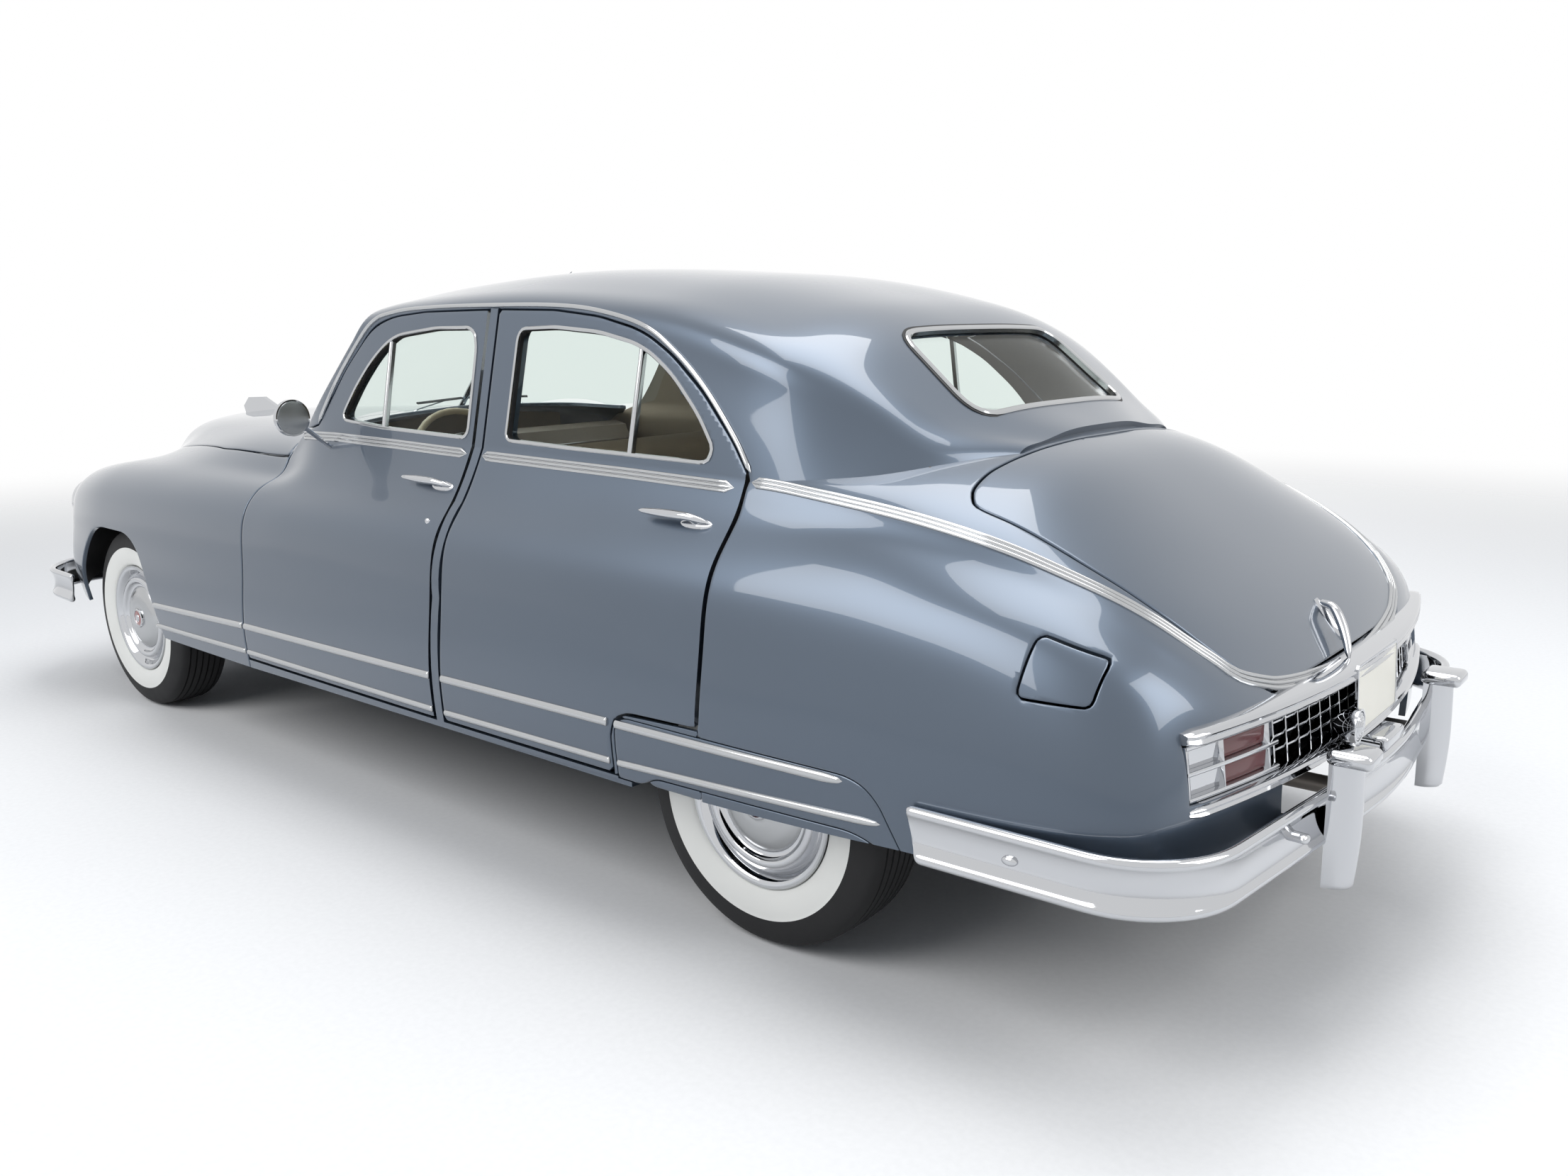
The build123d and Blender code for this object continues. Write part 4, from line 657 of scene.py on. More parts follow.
def height_map(surface):
    """A function that gives the surface's z over (x, y), from its right half."""
    half = surface[:, :surface.shape[1] // 2 + 1]
    y = np.arange(0.0, 800.0, 8.0)
    grid = np.stack([np.interp(y, line[::-1, 1], line[::-1, 2]) for line in half])
    x0, step = surface[0, 0, 0], surface[1, 0, 0] - surface[0, 0, 0]

    def height(x, across):
        """Z at each place, blended between the grid's four nearest."""
        u = np.clip((x - x0) / step, 0, len(grid) - 1.001)
        v = np.clip(np.abs(across) / 8.0, 0, len(y) - 1.001)
        i, k = u.astype(int), v.astype(int)
        s, t = u - i, v - k
        return ((1 - s) * (1 - t) * grid[i, k] + s * (1 - t) * grid[i + 1, k]
                + (1 - s) * t * grid[i, k + 1] + s * t * grid[i + 1, k + 1])
    return height


def lower_side(x):
    """The right side from the sill to the fall at each x."""
    return spread(x, through_points(side_knots(x), SIDE_STEPS[:6]))


def thick(amount):
    """The inner skin stands amount inside the outer one, square to it."""
    return lambda points, normal: -normal * amount


def backwards(amount):
    """The inner skin stands amount behind the outer one, along the car."""
    return lambda points, normal: np.broadcast_to((amount, 0, 0), points.shape)


def mirrored_plan(half):
    """A closed outline about the middle line from its right half."""
    return half + [(x, -y) for x, y in half[::-1] if y > 0]


TOP_PLAN = [0, 1]
SKIRT = softened([(1110, 372), (1110, 500), (1122, 524), (1150, 534), (1801, 534), (1850, 520),
                  (1885, 488), (1940, 380), (1895, 380), (1820, 409), (1240, 398),
                  (1195, 372)], 10)
FUEL_DOOR = softened([(2168, 757), (2181, 868), (2312, 831), (2305, 754)], 14)
LID = softened(mirrored_plan([(1902, 0), (1894, 300), (1884, 560), (1896, 640), (1925, 678),
                              (1960, 680), (2181, 655), (2320, 628), (2410, 586),
                              (2470, 505), (2512, 380), (2600, 300), (2700, 0)]), 30, 900)
LID_BOTTOM = 716.0
LID_GAP, FLAP_GAP, FIT = 4.5, 4.0, 0.5
RECESS_X, RECESS_HALF, RECESS_LOW, RECESS_TOP = 2415, 792, 566, 690
QUARTER_FRONT_X, ROOF_FOOT_Z = 1388, 1160
NOWHERE = -999
deck_surface = full_section(np.arange(1386.0, 2537.0, 13.0), DECK_LINES)
deck_height = height_map(deck_surface)


def rear_body_room(points):
    """How far a point lies inside the quarters and tail, clear of every opening."""
    side, top = points[:, SIDE_PLAN], points[:, TOP_PLAN]
    lid_opening = np.minimum(within(LID, top), points[:, 2] - LID_BOTTOM) + LID_GAP
    flap_opening = np.where(points[:, 1] < 0, within(FUEL_DOOR, side) + FLAP_GAP, NOWHERE)
    recess = np.minimum.reduce([points[:, 0] - RECESS_X, RECESS_TOP - points[:, 2],
                                points[:, 2] - RECESS_LOW, RECESS_HALF - np.abs(points[:, 1])])
    door_opening = np.where(points[:, 2] < ROOF_FOOT_Z, within(DOOR_OUTLINES["rear"], side),
                            NOWHERE)
    return -np.maximum.reduce([lid_opening, flap_opening, recess, door_opening + DOOR_GAP,
                               within(SKIRT, side) + FIT, QUARTER_FRONT_X - points[:, 0]])


rear_body = pressed("rear_body_dressed", deck_surface, rear_body_room, thick(16.0))
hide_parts("rear_body")

# Bead of the quarter between the rear door and the wheel skirt: a narrow strip of the same
# pressing, painted with it, that closes the gap behind the door's bottom corner.


def bead_room(points):
    """How far a point lies inside the bead."""
    side = points[:, SIDE_PLAN]
    return -np.maximum.reduce([within(DOOR_OUTLINES["rear"], side) + DOOR_GAP,
                               within(SKIRT, side) + FIT, points[:, 2] - 549,
                               points[:, 0] - 1390, 1099 - points[:, 0], 378 - points[:, 2]])


bead_points, bead_faces, which = panel(lower_side(np.arange(1090.0, 1396.0, 6.0)), bead_room,
                                       thick(12.0), roll=2.0)
for side, sign in LEFT_AND_RIGHT:
    piece(f"quarter_bead_{side}", bead_points * (1, sign, 1), bead_faces, "car", "paint",
          [paint, frame_black], which)

# Trunk lid, fuel door and rear wheel skirts: single steel pressings in the same surface, each
# with its own rolled rim. The lid and the flap hinge at their front, and the skirts are bolted on.
lid_x = np.arange(1866.0, 2537.0, 12.0)


def lid_room(points):
    """How far a point lies inside the trunk lid, less than nought outside it."""
    return np.minimum(within(LID, points[:, TOP_PLAN]), points[:, 2] - LID_BOTTOM)


lid = pressed("trunk_lid_dressed", full_section(lid_x, DECK_LINES)[:, 40:-40], lid_room,
              thick(16.0), "trunk_lid", roll=4.0)
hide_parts("trunk_lid")
flap = pressed("fuel_door_dressed", lower_side(np.arange(2150.0, 2330.0, 4.0)),
               lambda points: within(FUEL_DOOR, points[:, SIDE_PLAN]), thick(8.0), "fuel_door",
               sign=-1, sharp=32, roll=2.5)
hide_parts("fuel_door")

made_points, made_faces, which = panel(
    lower_side(np.arange(1100.0, 1950.0, 11.0)),
    lambda points: within(SKIRT, points[:, SIDE_PLAN]) - 1.0, thick(9.0), roll=4.0)
for side, sign in LEFT_AND_RIGHT:
    skirt = piece(f"skirt_{side}", made_points * (1, sign, 1), made_faces, "car", "paint",
                  [paint, frame_black], which)
    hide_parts("skirts")

# Hood, fenders and cowl: the front end's pressings. Fenders and nose are one welded shell with
# the wheel arches, headlamp bores and grille opening cut in it.
FRONT_TOP = [
    (-2562, 220, 835, 110, 858, 866), (-2520, 260, 925, 130, 985, 1000),
    (-2440, 290, 985, 150, 1050, 1068), (-2280, 330, 1030, 180, 1086, 1102),
    (-1885, 420, 1074, 220, 1114, 1126), (-1300, 520, 1104, 260, 1140, 1150),
    (-703, 620, 1120, 300, 1160, 1172), (-520, 640, 1150, 300, 1184, 1194),
]
FRONT_LINES = smoothed(FRONT_TOP)
HOOD = softened(mirrored_plan([(-2700, 0), (-2700, 300), (-2562, 300), (-2520, 330),
                               (-2440, 370), (-2280, 430), (-1885, 548), (-1300, 678),
                               (-900, 726), (-716, 746), (-850, 0)]), 14, 900)
COWL = softened(mirrored_plan([(-870, 0), (-722, 740), (-711, 757), (-702, 762), (-702, 860),
                               (-545, 860), (-545, 640), (-620, 300), (-700, 0)]), 4, 4)
ARCH = softened([(-2190, 200), (-2190, 300), (-2150, 500), (-2090, 610), (-2000, 690),
                 (-1900, 716), (-1640, 716), (-1545, 670), (-1470, 580), (-1410, 470),
                 (-1350, 300), (-1350, 200)], 300)
HOOD_NOSE, HOOD_GAP = 792.0, 5.0
LAMP_AT, LAMP_BORE = (668.0, 742.0), 100.0
GRILLE_HALF, GRILLE_LOW, GRILLE_TOP = 540, 556, 750
COWL_LOW = 990
FENDER_REAR_X = -709.5
SCREEN_TOP = (-400.0, 1560.0)
SCREEN_SLOPE = 0.918
SCREEN_SWEEP = 0.29
NOSE_X = -2562.0
front_surface = full_section(np.arange(NOSE_X, -540.0, 15.0), FRONT_LINES)


def behind_screen(points):
    """Distance behind the windscreen's two planes."""
    plane = (SCREEN_TOP[0] - SCREEN_SLOPE * (SCREEN_TOP[1] - points[:, 2])
             + SCREEN_SWEEP * np.abs(points[:, 1]))
    return (points[:, 0] - plane) / math.hypot(1, SCREEN_SLOPE)


def hood_room(points):
    """How far a point lies inside the hood, less than nought outside it."""
    return np.minimum(within(HOOD, points[:, TOP_PLAN]), points[:, 2] - HOOD_NOSE)


def cowl_room(points):
    """How far a point lies inside the cowl, clear of hood, doors and screen."""
    return -np.maximum.reduce([
        -within(COWL, points[:, TOP_PLAN]), hood_room(points) + HOOD_GAP, COWL_LOW - points[:, 2],
        within(DOOR_OUTLINES["front"], points[:, SIDE_PLAN]) + DOOR_GAP,
        behind_screen(points) - 24])


def fender_room(points):
    """How far a point lies inside the fenders, clear of every opening."""
    side = points[:, SIDE_PLAN]
    ahead_of_yoke = points[:, 0] < -2380
    lamp = LAMP_BORE - np.hypot(np.abs(points[:, 1]) - LAMP_AT[0], points[:, 2] - LAMP_AT[1])
    grille = np.minimum.reduce([GRILLE_HALF - np.abs(points[:, 1]), points[:, 2] - GRILLE_LOW,
                                GRILLE_TOP - points[:, 2], -2450 - points[:, 0]])
    cowl_zone = np.minimum(within(COWL, points[:, TOP_PLAN]), points[:, 2] - COWL_LOW)
    return -np.maximum.reduce([
        hood_room(points) + HOOD_GAP, within(ARCH, side), cowl_zone + 1.2,
        within(DOOR_OUTLINES["front"], side) + DOOR_GAP, points[:, 0] - FENDER_REAR_X,
        np.where(ahead_of_yoke, lamp, NOWHERE), grille])


fenders = pressed("front_fenders_dressed", front_surface, fender_room, thick(14.0))
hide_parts("fenders")
hood_x = np.arange(NOSE_X, -700.0, 15.0)
hood = pressed("hood_dressed", full_section(hood_x, FRONT_LINES)[:, 36:-36], hood_room,
               thick(14.0), "hood", roll=4.0)
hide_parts("hood")

# Nose: the flat front of the shell, full round its edge, with the grille's opening in it. It is
# pressed with the fenders and painted, and its top belongs to the hood.
nose_ring = full_section(np.array([NOSE_X, NOSE_X + 10]), FRONT_LINES)[0][:, 1:]
y, z = np.meshgrid(np.arange(-644.0, 645.0, 14.0), np.arange(430.0, 930.0, 13.0))
from_edge = np.maximum(within(nose_ring, np.stack([y.ravel(), z.ravel()], 1)), 0).reshape(y.shape)
nose_face = np.stack([NOSE_X - 15 * (1 - np.exp(-from_edge / 55)), y, z], axis=-1)


def nose_room(points):
    """How far a point lies inside the nose's front, clear of the hood and the grille."""
    opening = np.minimum.reduce([GRILLE_HALF + 1 - np.abs(points[:, 1]),
                                 points[:, 2] - GRILLE_LOW + 1, GRILLE_TOP + 1 - points[:, 2]])
    return np.minimum.reduce([within(nose_ring, points[:, 1:]), -opening,
                              -hood_room(points) - HOOD_GAP])


def hood_nose_room(points):
    """How far a point lies inside the hood's part of the nose."""
    return np.minimum(within(nose_ring, points[:, 1:]), hood_room(points))


nose = pressed("nose_dressed", nose_face, nose_room, backwards(20))
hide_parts("nose_panel")
pressed("hood_nose_dressed", nose_face, hood_nose_room, backwards(20), "hood")
cowl = pressed("cowl_dressed", full_section(np.arange(-880.0, -540.0, 12.0), FRONT_LINES),
               cowl_room, thick(14.0))
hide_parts("cowl")

# Fire wall: a ribbed steel plate in a shallow V under the cowl, cut out for the gearbox. It is
# welded in, black towards the engine and trimmed with cloth towards the cabin.
wall_section = full_section(np.array([-760.0, -750.0]), FRONT_LINES)[0][:, 1:]
y, z = np.meshgrid(np.linspace(-930, 930, 80), np.linspace(374, 1150, 60))
plan_x = np.interp(np.abs(y), (0, 440, 960), (-832, -722.5, -722.5))
ribs = 4.0 * np.clip(np.cos(z / 55.0) * 3 - 1.6, 0, 1) * (np.abs(y) < 430)
plate = np.stack([plan_x - ribs, y, z], axis=-1)


def fire_wall_room(points):
    """How far a point lies inside the fire wall, outside the tunnel."""
    tunnel = np.minimum(150 - np.abs(points[:, 1]), 590 - points[:, 2])
    high_side = np.minimum(np.abs(points[:, 1]) - 440, points[:, 2] - 1000)
    return np.minimum.reduce([within(wall_section, points[:, 1:]) - 30, -tunnel, -high_side])


made_points, made_faces, which = panel(plate, fire_wall_room, backwards(11), roll=1.0)
piece("fire_wall", made_points, made_faces, "car", "frame_black", [frame_black, door_cloth],
      which)

# Roof: the turret top, one steel pressing with its rear pillars, cut for the doors, the screens
# and the deck. It is welded to the side frames and lined with grey cloth inside.
ROOF_STEPS = (10, 8, 5, 11, 13, 30)
WINDOW_MIDDLE = np.array((1630.0, 0.0, 1322.0))
WINDOW_SLOPE = math.atan2(1430 - 1215, 1755 - 1505)
WINDOW_UP = np.array((-math.cos(WINDOW_SLOPE), 0, math.sin(WINDOW_SLOPE)))
REAR_WINDOW = softened([(-388, -159), (388, -159), (372, 159), (-372, 159)], 82)
POST_TOP = 1510.5
headliner = finish("grey_headliner", (0.30, 0.27, 0.22), 0.9, size=40, patches=0.06, grain=0.8,
                   depth=0.0006)


def roof_surface(x):
    """Base, two points up to the gutter, gutter, cant, crown and top, and their mirror images."""
    row = columns_at(ROOF_LINES, x)
    base, gutter, cant, crown = row[:, :8].reshape(-1, 4, 2).transpose(1, 0, 2)
    right = np.stack([base, base + (gutter - base) * 0.5, base + (gutter - base) * 0.88,
                      gutter, cant, crown], axis=1)
    middle = np.stack([0 * row[:, 8], row[:, 8]], axis=1)[:, None]
    knots = np.concatenate([right, middle, right[:, ::-1] * (-1, 1)], axis=1)
    return spread(x, through_points(knots, ROOF_STEPS + ROOF_STEPS[::-1]))


def on_window(points):
    """Points in the rear window's own plane: across, and up the slope."""
    return np.stack([points[:, 1], (points - WINDOW_MIDDLE) @ WINDOW_UP], axis=1)


def roof_room(points):
    """How far a point lies inside the roof, clear of doors, screens and deck."""
    side = points[:, SIDE_PLAN]
    post = np.minimum(POST_TOP - points[:, 2], 24 - np.abs(points[:, 0] - 386.5))
    under_deck = np.where(points[:, 0] > 1392,
                          deck_height(points[:, 0], points[:, 1]) - 14 - points[:, 2], NOWHERE)
    return -np.maximum.reduce([
        within(DOOR_OUTLINES["front"], side) + DOOR_GAP,
        within(DOOR_OUTLINES["rear"], side) + DOOR_GAP, post, -behind_screen(points),
        np.where(points[:, 0] > 1400, within(REAR_WINDOW, on_window(points)), NOWHERE),
        under_deck])


roof = pressed("roof_dressed", roof_surface(np.arange(-860.0, 1890.0, 17.0)), roof_room,
               thick(28.0), back=headliner)
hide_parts("roof")

# Glass: slightly green laminated panes in rubber. The flat ones keep the CAD's shape. The rear
# one is bowed to follow the roof.
glass = finish("window_glass", (0.86, 0.91, 0.89), 0.01, size=1.5, patches=0.0, grain=0.0,
               depth=0, Transmission_Weight=1.0, IOR=1.12, Specular_IOR_Level=1.0)
for name in ("windshield", "glass_front_left", "glass_front_right", "glass_rear_left",
             "glass_rear_right"):
    coat(name, glass)
pane_surface = roof_surface(np.arange(1420.0, 1860.0, 20.0))
lift = np.cross(np.gradient(pane_surface, axis=1), np.gradient(pane_surface, axis=0))
pane_surface = pane_surface - 14.0 * lift / np.linalg.norm(lift, axis=-1)[..., None]
made_points, made_faces, which = panel(pane_surface[:, 12:-12],
                                       lambda points: within(REAR_WINDOW, on_window(points)) - 1,
                                       thick(5.0), roll=1.0)
pane = piece("rear_window_dressed", made_points, made_faces, "car", "glass", [glass])
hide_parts("rear_window")

# Bright side trims: two half-round strips along each side, cut at every door gap, with
# rounded ends. They are pressed stainless, clipped to the panel under them.


def swept(path, outward, section, grow=None, closed=False):
    """A section of (out, up) points carried along a path. At each point out runs along
    outward, squared to the path, and up is square to both. grow scales the section."""
    ahead = np.roll(path, -1, axis=0) - np.roll(path, 1, axis=0)
    if not closed:
        ahead[0], ahead[-1] = path[1] - path[0], path[-1] - path[-2]
    ahead /= np.linalg.norm(ahead, axis=1)[:, None]
    out = outward - (outward * ahead).sum(1)[:, None] * ahead
    out /= np.linalg.norm(out, axis=1)[:, None]
    up = np.cross(ahead, out)
    flat = np.array(section, float)
    size = np.ones((len(path), 2)) if grow is None else np.asarray(grow, float)
    points = (path[:, None] + flat[None, :, :1] * size[:, None, :1] * out[:, None]
              + flat[None, :, 1:] * size[:, None, 1:] * up[:, None])
    count, rows = len(flat), len(path)
    i = np.arange(rows if closed else rows - 1)[:, None]
    j = (i + 1) % rows
    k = np.arange(count)[None, :]
    n = (k + 1) % count
    faces = np.stack([i * count + k, j * count + k, j * count + n, i * count + n],
                     axis=-1).reshape(-1, 4).tolist()
    if not closed:
        faces += [list(range(count))[::-1], list(range((rows - 1) * count, rows * count))]
    return points.reshape(-1, 3), faces


def joined(*parts):
    """Several (points, faces) as one."""
    offset = 0
    points, faces = [], []
    for some_points, some_faces in parts:
        points.append(some_points)
        faces += [[c + offset for c in face] for face in some_faces]
        offset += len(some_points)
    return np.vstack(points), faces


def y_at_height(section, z):
    """The y at which each section of (y, z) points, walked upwards, first reaches its z."""
    above = np.clip((section[:, :, 1] < z[:, None]).sum(axis=1), 1, section.shape[1] - 1)
    row = np.arange(len(z))
    a, b = section[row, above - 1], section[row, above]
    return a[:, 0] + (z - a[:, 1]) / (b[:, 1] - a[:, 1]) * (b[:, 0] - a[:, 0])


def half_width(x, z):
    """The right side's y at each (x, z)."""
    return y_at_height(door_surface(x)[:, :, 1:], z)


def on_side(flat):
    """Points on the right side at each (x, z), and the way out of it there."""
    x, z = flat.T
    along = (half_width(x + 3, z) - half_width(x - 3, z)) / 6
    upward_slope = (half_width(x, z + 3) - half_width(x, z - 3)) / 6
    out = np.stack([-along, np.ones_like(x), -upward_slope], axis=1)
    return (np.stack([x, half_width(x, z), z], axis=1),
            out / np.linalg.norm(out, axis=1)[:, None])


def oval(out, up, step=0.6):
    """An elliptic section of half axes out and up, with a corner every step radians."""
    return [(out * math.cos(a), up * math.sin(a)) for a in np.arange(0, 6.2, step)]


def half_round(height, proud, sink=2.0, steps=9):
    """A half-ellipse section of that height, its flat back sunk into what carries it."""
    angle = np.linspace(-np.pi / 2, np.pi / 2, steps)
    return ([(-sink, -height / 2)] + [(proud * math.cos(a), height / 2 * math.sin(a))
                                      for a in angle] + [(-sink, height / 2)])


def ends_rounded(path, reach, start=True, stop=True):
    """Scales that bring a strip's ends down on a quarter ellipse over reach."""
    run = walked(path)
    near = np.full(len(run), reach)
    if start:
        near = np.minimum(near, run)
    if stop:
        near = np.minimum(near, run[-1] - run)
    near = np.clip(near / reach, 0, 1)
    size = np.sqrt(np.maximum(1 - (1 - near) ** 2, 0.0)) * 0.97 + 0.03
    return np.stack([size, size], axis=1)


stainless = finish("stainless_trim", (0.50, 0.51, 0.52), 0.12, 1.0, size=3, patches=0.05,
                   depth=0)
TRIM_UPPER = [(-1410, 472), (-703, 495), (367, 507), (1104, 514), (1800, 520)]
TRIM_LOWER = [(-1381, 394), (-703, 406), (367, 408), (1104, 414), (1895, 445)]
TRIM_RUNS = (("fender", "car", -1412, -714, 30, 5),
             ("front_door", "door_front", -699, 359, 5, 5),
             ("rear_door", "door_rear", 414, 1090, 5, 5))
for level, line, height, proud, skirt_stop in (("upper", TRIM_UPPER, 23.0, 8.5, 1797),
                                               ("lower", TRIM_LOWER, 19.0, 7.5, 1888)):
    line = np.array(line, float)
    skirt_run = ("skirt", "car", 1116, skirt_stop, 5, 60)
    for label, body, start, stop, first, last in TRIM_RUNS + (skirt_run,):
        x = np.concatenate([np.linspace(start, start + first, 9)[:-1],
                            np.arange(start + first, stop - last, 20.0),
                            np.linspace(stop - last, stop, 9)])
        strip, out = on_side(np.stack([x, np.interp(x, *line.T)], axis=1))
        size = np.minimum(ends_rounded(strip, first, stop=False),
                          ends_rounded(strip, last, start=False))
        strip_points, strip_faces = swept(strip, out, half_round(height, proud), size)
        for side, sign in LEFT_AND_RIGHT:
            rider = body if body == "car" else f"{body}_{side}"
            piece(f"trim_{level}_{label}_{side}", strip_points * (1, sign, 1), strip_faces,
                  rider, "chrome", [stainless])

# Belt moulding: three bright ribs below the windows, carried on along the deck beside the
# trunk lid and across the tail under it.
RIB = 4.6
rib_profile = []
for middle in (-10.5, 0.0, 10.5):
    rib_profile += [(RIB * math.cos(a) + 1.0, middle + RIB * math.sin(a))
                    for a in np.linspace(-np.pi / 2, np.pi / 2, 7)]
rib_profile = [(-3, -15.5)] + rib_profile + [(-3, 15.5)]
belt_line = np.array([(-600, 1128), (-538, 1133), (-356, 1137), (0, 1131), (375, 1121),
                      (1000, 1107), (1389, 1095)], float)
for label, start, stop in (("front", -592.0, 357.0), ("rear", 416.0, 1372.0)):
    x = np.arange(start, stop, 24.0)
    strip, _ = on_side(np.stack([x, np.interp(x, *belt_line.T) - 12], axis=1))
    _, low_out = on_side(np.stack([x, np.interp(x, *belt_line.T) - 25], axis=1))
    out = low_out + (0, 0.6, 0)
    made_points, made_faces = swept(strip, out, rib_profile, ends_rounded(strip, 7))
    for side, sign in LEFT_AND_RIGHT:
        piece(f"belt_moulding_{label}_{side}", made_points * (1, sign, 1), made_faces,
              f"door_{label}_{side}", "chrome", [stainless])


def on_deck(flat):
    """Points on the deck at each (x, y), and the way out of it there."""
    x, y = flat.T
    slope_x = (deck_height(x + 4, y) - deck_height(x - 4, y)) / 8
    slope_y = (deck_height(x, y + 4) - deck_height(x, y - 4)) / 8
    out = np.stack([-slope_x, -slope_y, np.ones_like(x)], axis=1)
    return (np.stack([x, y, deck_height(x, y)], axis=1),
            out / np.linalg.norm(out, axis=1)[:, None])


deck_half = [(1399, 789), (1560, 781), (1742, 767), (1946, 752), (2080, 729), (2217, 694),
             (2359, 640), (2420, 592), (2453, 547), (2479, 455), (2492, 375), (2504, 250),
             (2511, 133), (2514, 0)]
deck_line = rounded(deck_half + [(x, -y) for x, y in deck_half[-2::-1]], 20)
strip, out = on_deck(deck_line)
piece("deck_moulding", *swept(strip, out, rib_profile, ends_rounded(strip, 7)), "car", "chrome",
      [stainless])

# Window frames: bright reveals round each side glass, a divider for the vent pane, and the
# drip moulding over the doors.


def even_loop(outline, spacing):
    """A closed outline walked at an even spacing."""
    ring = np.vstack([outline, outline[:1]])
    run = walked(ring)
    at_run = np.arange(0, run[-1], run[-1] / round(run[-1] / spacing))
    return np.stack([np.interp(at_run, run, column) for column in ring.T], axis=1)


REVEAL = [(-9, -3), (2.5, -4.5), (4.0, -2.5), (4.0, 2.5), (2.0, 5.0), (-2, 5.5), (-9, 4)]
rubber_seal = finish("window_rubber", (0.012, 0.012, 0.013), 0.6, size=20, patches=0.2)
for label, outline in WINDOW_OUTLINES.items():
    path, out = on_side(even_loop(outline, 13.0))
    frame_points, frame_faces = swept(path, out, REVEAL, closed=True)
    seal_points, seal_faces = swept(path, out, [(-17, -5), (-4, -5), (-4, 7), (-17, 9)],
                                    closed=True)
    low, high = ((-94, 1162), (-106, 1428)) if label == "front" else ((985, 1140), (985, 1406))
    heights = np.linspace(0, 1, 12)[:, None]
    path, out = on_side(np.array(low) * (1 - heights) + np.array(high) * heights)
    post_points, post_faces = swept(path - out * 7, out, half_round(15, 7, 12))
    for side, sign in LEFT_AND_RIGHT:
        rider = f"door_{label}_{side}"
        piece(f"window_reveal_{label}_{side}", frame_points * (1, sign, 1), frame_faces,
              rider, "chrome", [stainless])
        piece(f"window_seal_{label}_{side}", seal_points * (1, sign, 1), seal_faces, rider,
              "tyre", [rubber_seal])
        piece(f"vent_divider_{label}_{side}", post_points * (1, sign, 1), post_faces, rider,
              "chrome", [stainless])

drip_line = rounded([(-468, 1163), (-452, 1183), (-343, 1347), (-219, 1472), (-113, 1505),
                     (60, 1516), (368, 1517), (640, 1511), (820, 1493), (993, 1454),
                     (1108, 1393), (1222, 1307), (1336, 1195), (1394, 1120)], 14)
TO_GUTTER = 40
drip_y = y_at_height(roof_surface(drip_line[:, 0])[:, :TO_GUTTER, 1:], drip_line[:, 1])
path = np.stack([drip_line[:, 0], drip_y + 1.0, drip_line[:, 1]], axis=1)
out = np.broadcast_to((0.0, 1.0, 0.25), path.shape)
drip_points, drip_faces = swept(path, out, half_round(13, 7.5, 4), ends_rounded(path, 10))
for side, sign in LEFT_AND_RIGHT:
    piece(f"drip_moulding_{side}", drip_points * (1, sign, 1), drip_faces, "car", "chrome",
          [stainless])

# Rear window surround: a bright pressed frame over a rubber seal, both laid on the roof's back
# along the window's outline.


LANDING_STEPS = 25


def on_roof_back(flat):
    """Points of the rear window's plane pushed onto the roof, along the plane's normal."""
    normal = np.cross(WINDOW_UP, (0, 1, 0))
    normal = normal * np.sign(normal[2])
    plane = WINDOW_MIDDLE + flat[:, :1] * (0, 1, 0) + flat[:, 1:] * WINDOW_UP
    lift = np.zeros(len(flat))
    for _ in range(LANDING_STEPS):
        points = plane + lift[:, None] * normal
        lift += (roof_height(points[:, 0], points[:, 1]) - points[:, 2]) * normal[2]
    points = plane + lift[:, None] * normal
    return points, np.broadcast_to(normal, points.shape)


roof_height = height_map(roof_surface(np.arange(-860.0, 1890.0, 13.0)))
path, out = on_roof_back(even_loop(REAR_WINDOW, 10.0))
window_frame = swept(path, out, [(-10, -9), (3, -9), (6, -6), (6, 4), (3, 7), (-10, 7)],
                     closed=True)
piece("rear_window_frame", *window_frame, "car", "chrome", [stainless])
window_seal = swept(path, out, [(-22, -3), (-3, -3), (1, 8), (1, 14), (-22, 14)], closed=True)
piece("rear_window_seal", *window_seal, "car", "tyre", [rubber_seal])

# Door handles: a cast and plated grip that tapers forwards out of an oval base, screwed to the
# door, and a round key lock on the driver's side.


def tapered(path, radii, up_scale=1.0, steps=20):
    """A round body of changing radius carried along a path, closed at both ends."""
    angle = np.linspace(0, 2 * np.pi, steps, endpoint=False)
    ring = np.stack([np.cos(angle), np.sin(angle) * up_scale], axis=1)
    radii = np.asarray(radii, float)
    out = np.broadcast_to((0.02, 0.98, 0.2), path.shape)
    return swept(path, out, ring, np.stack([radii, radii], axis=1))


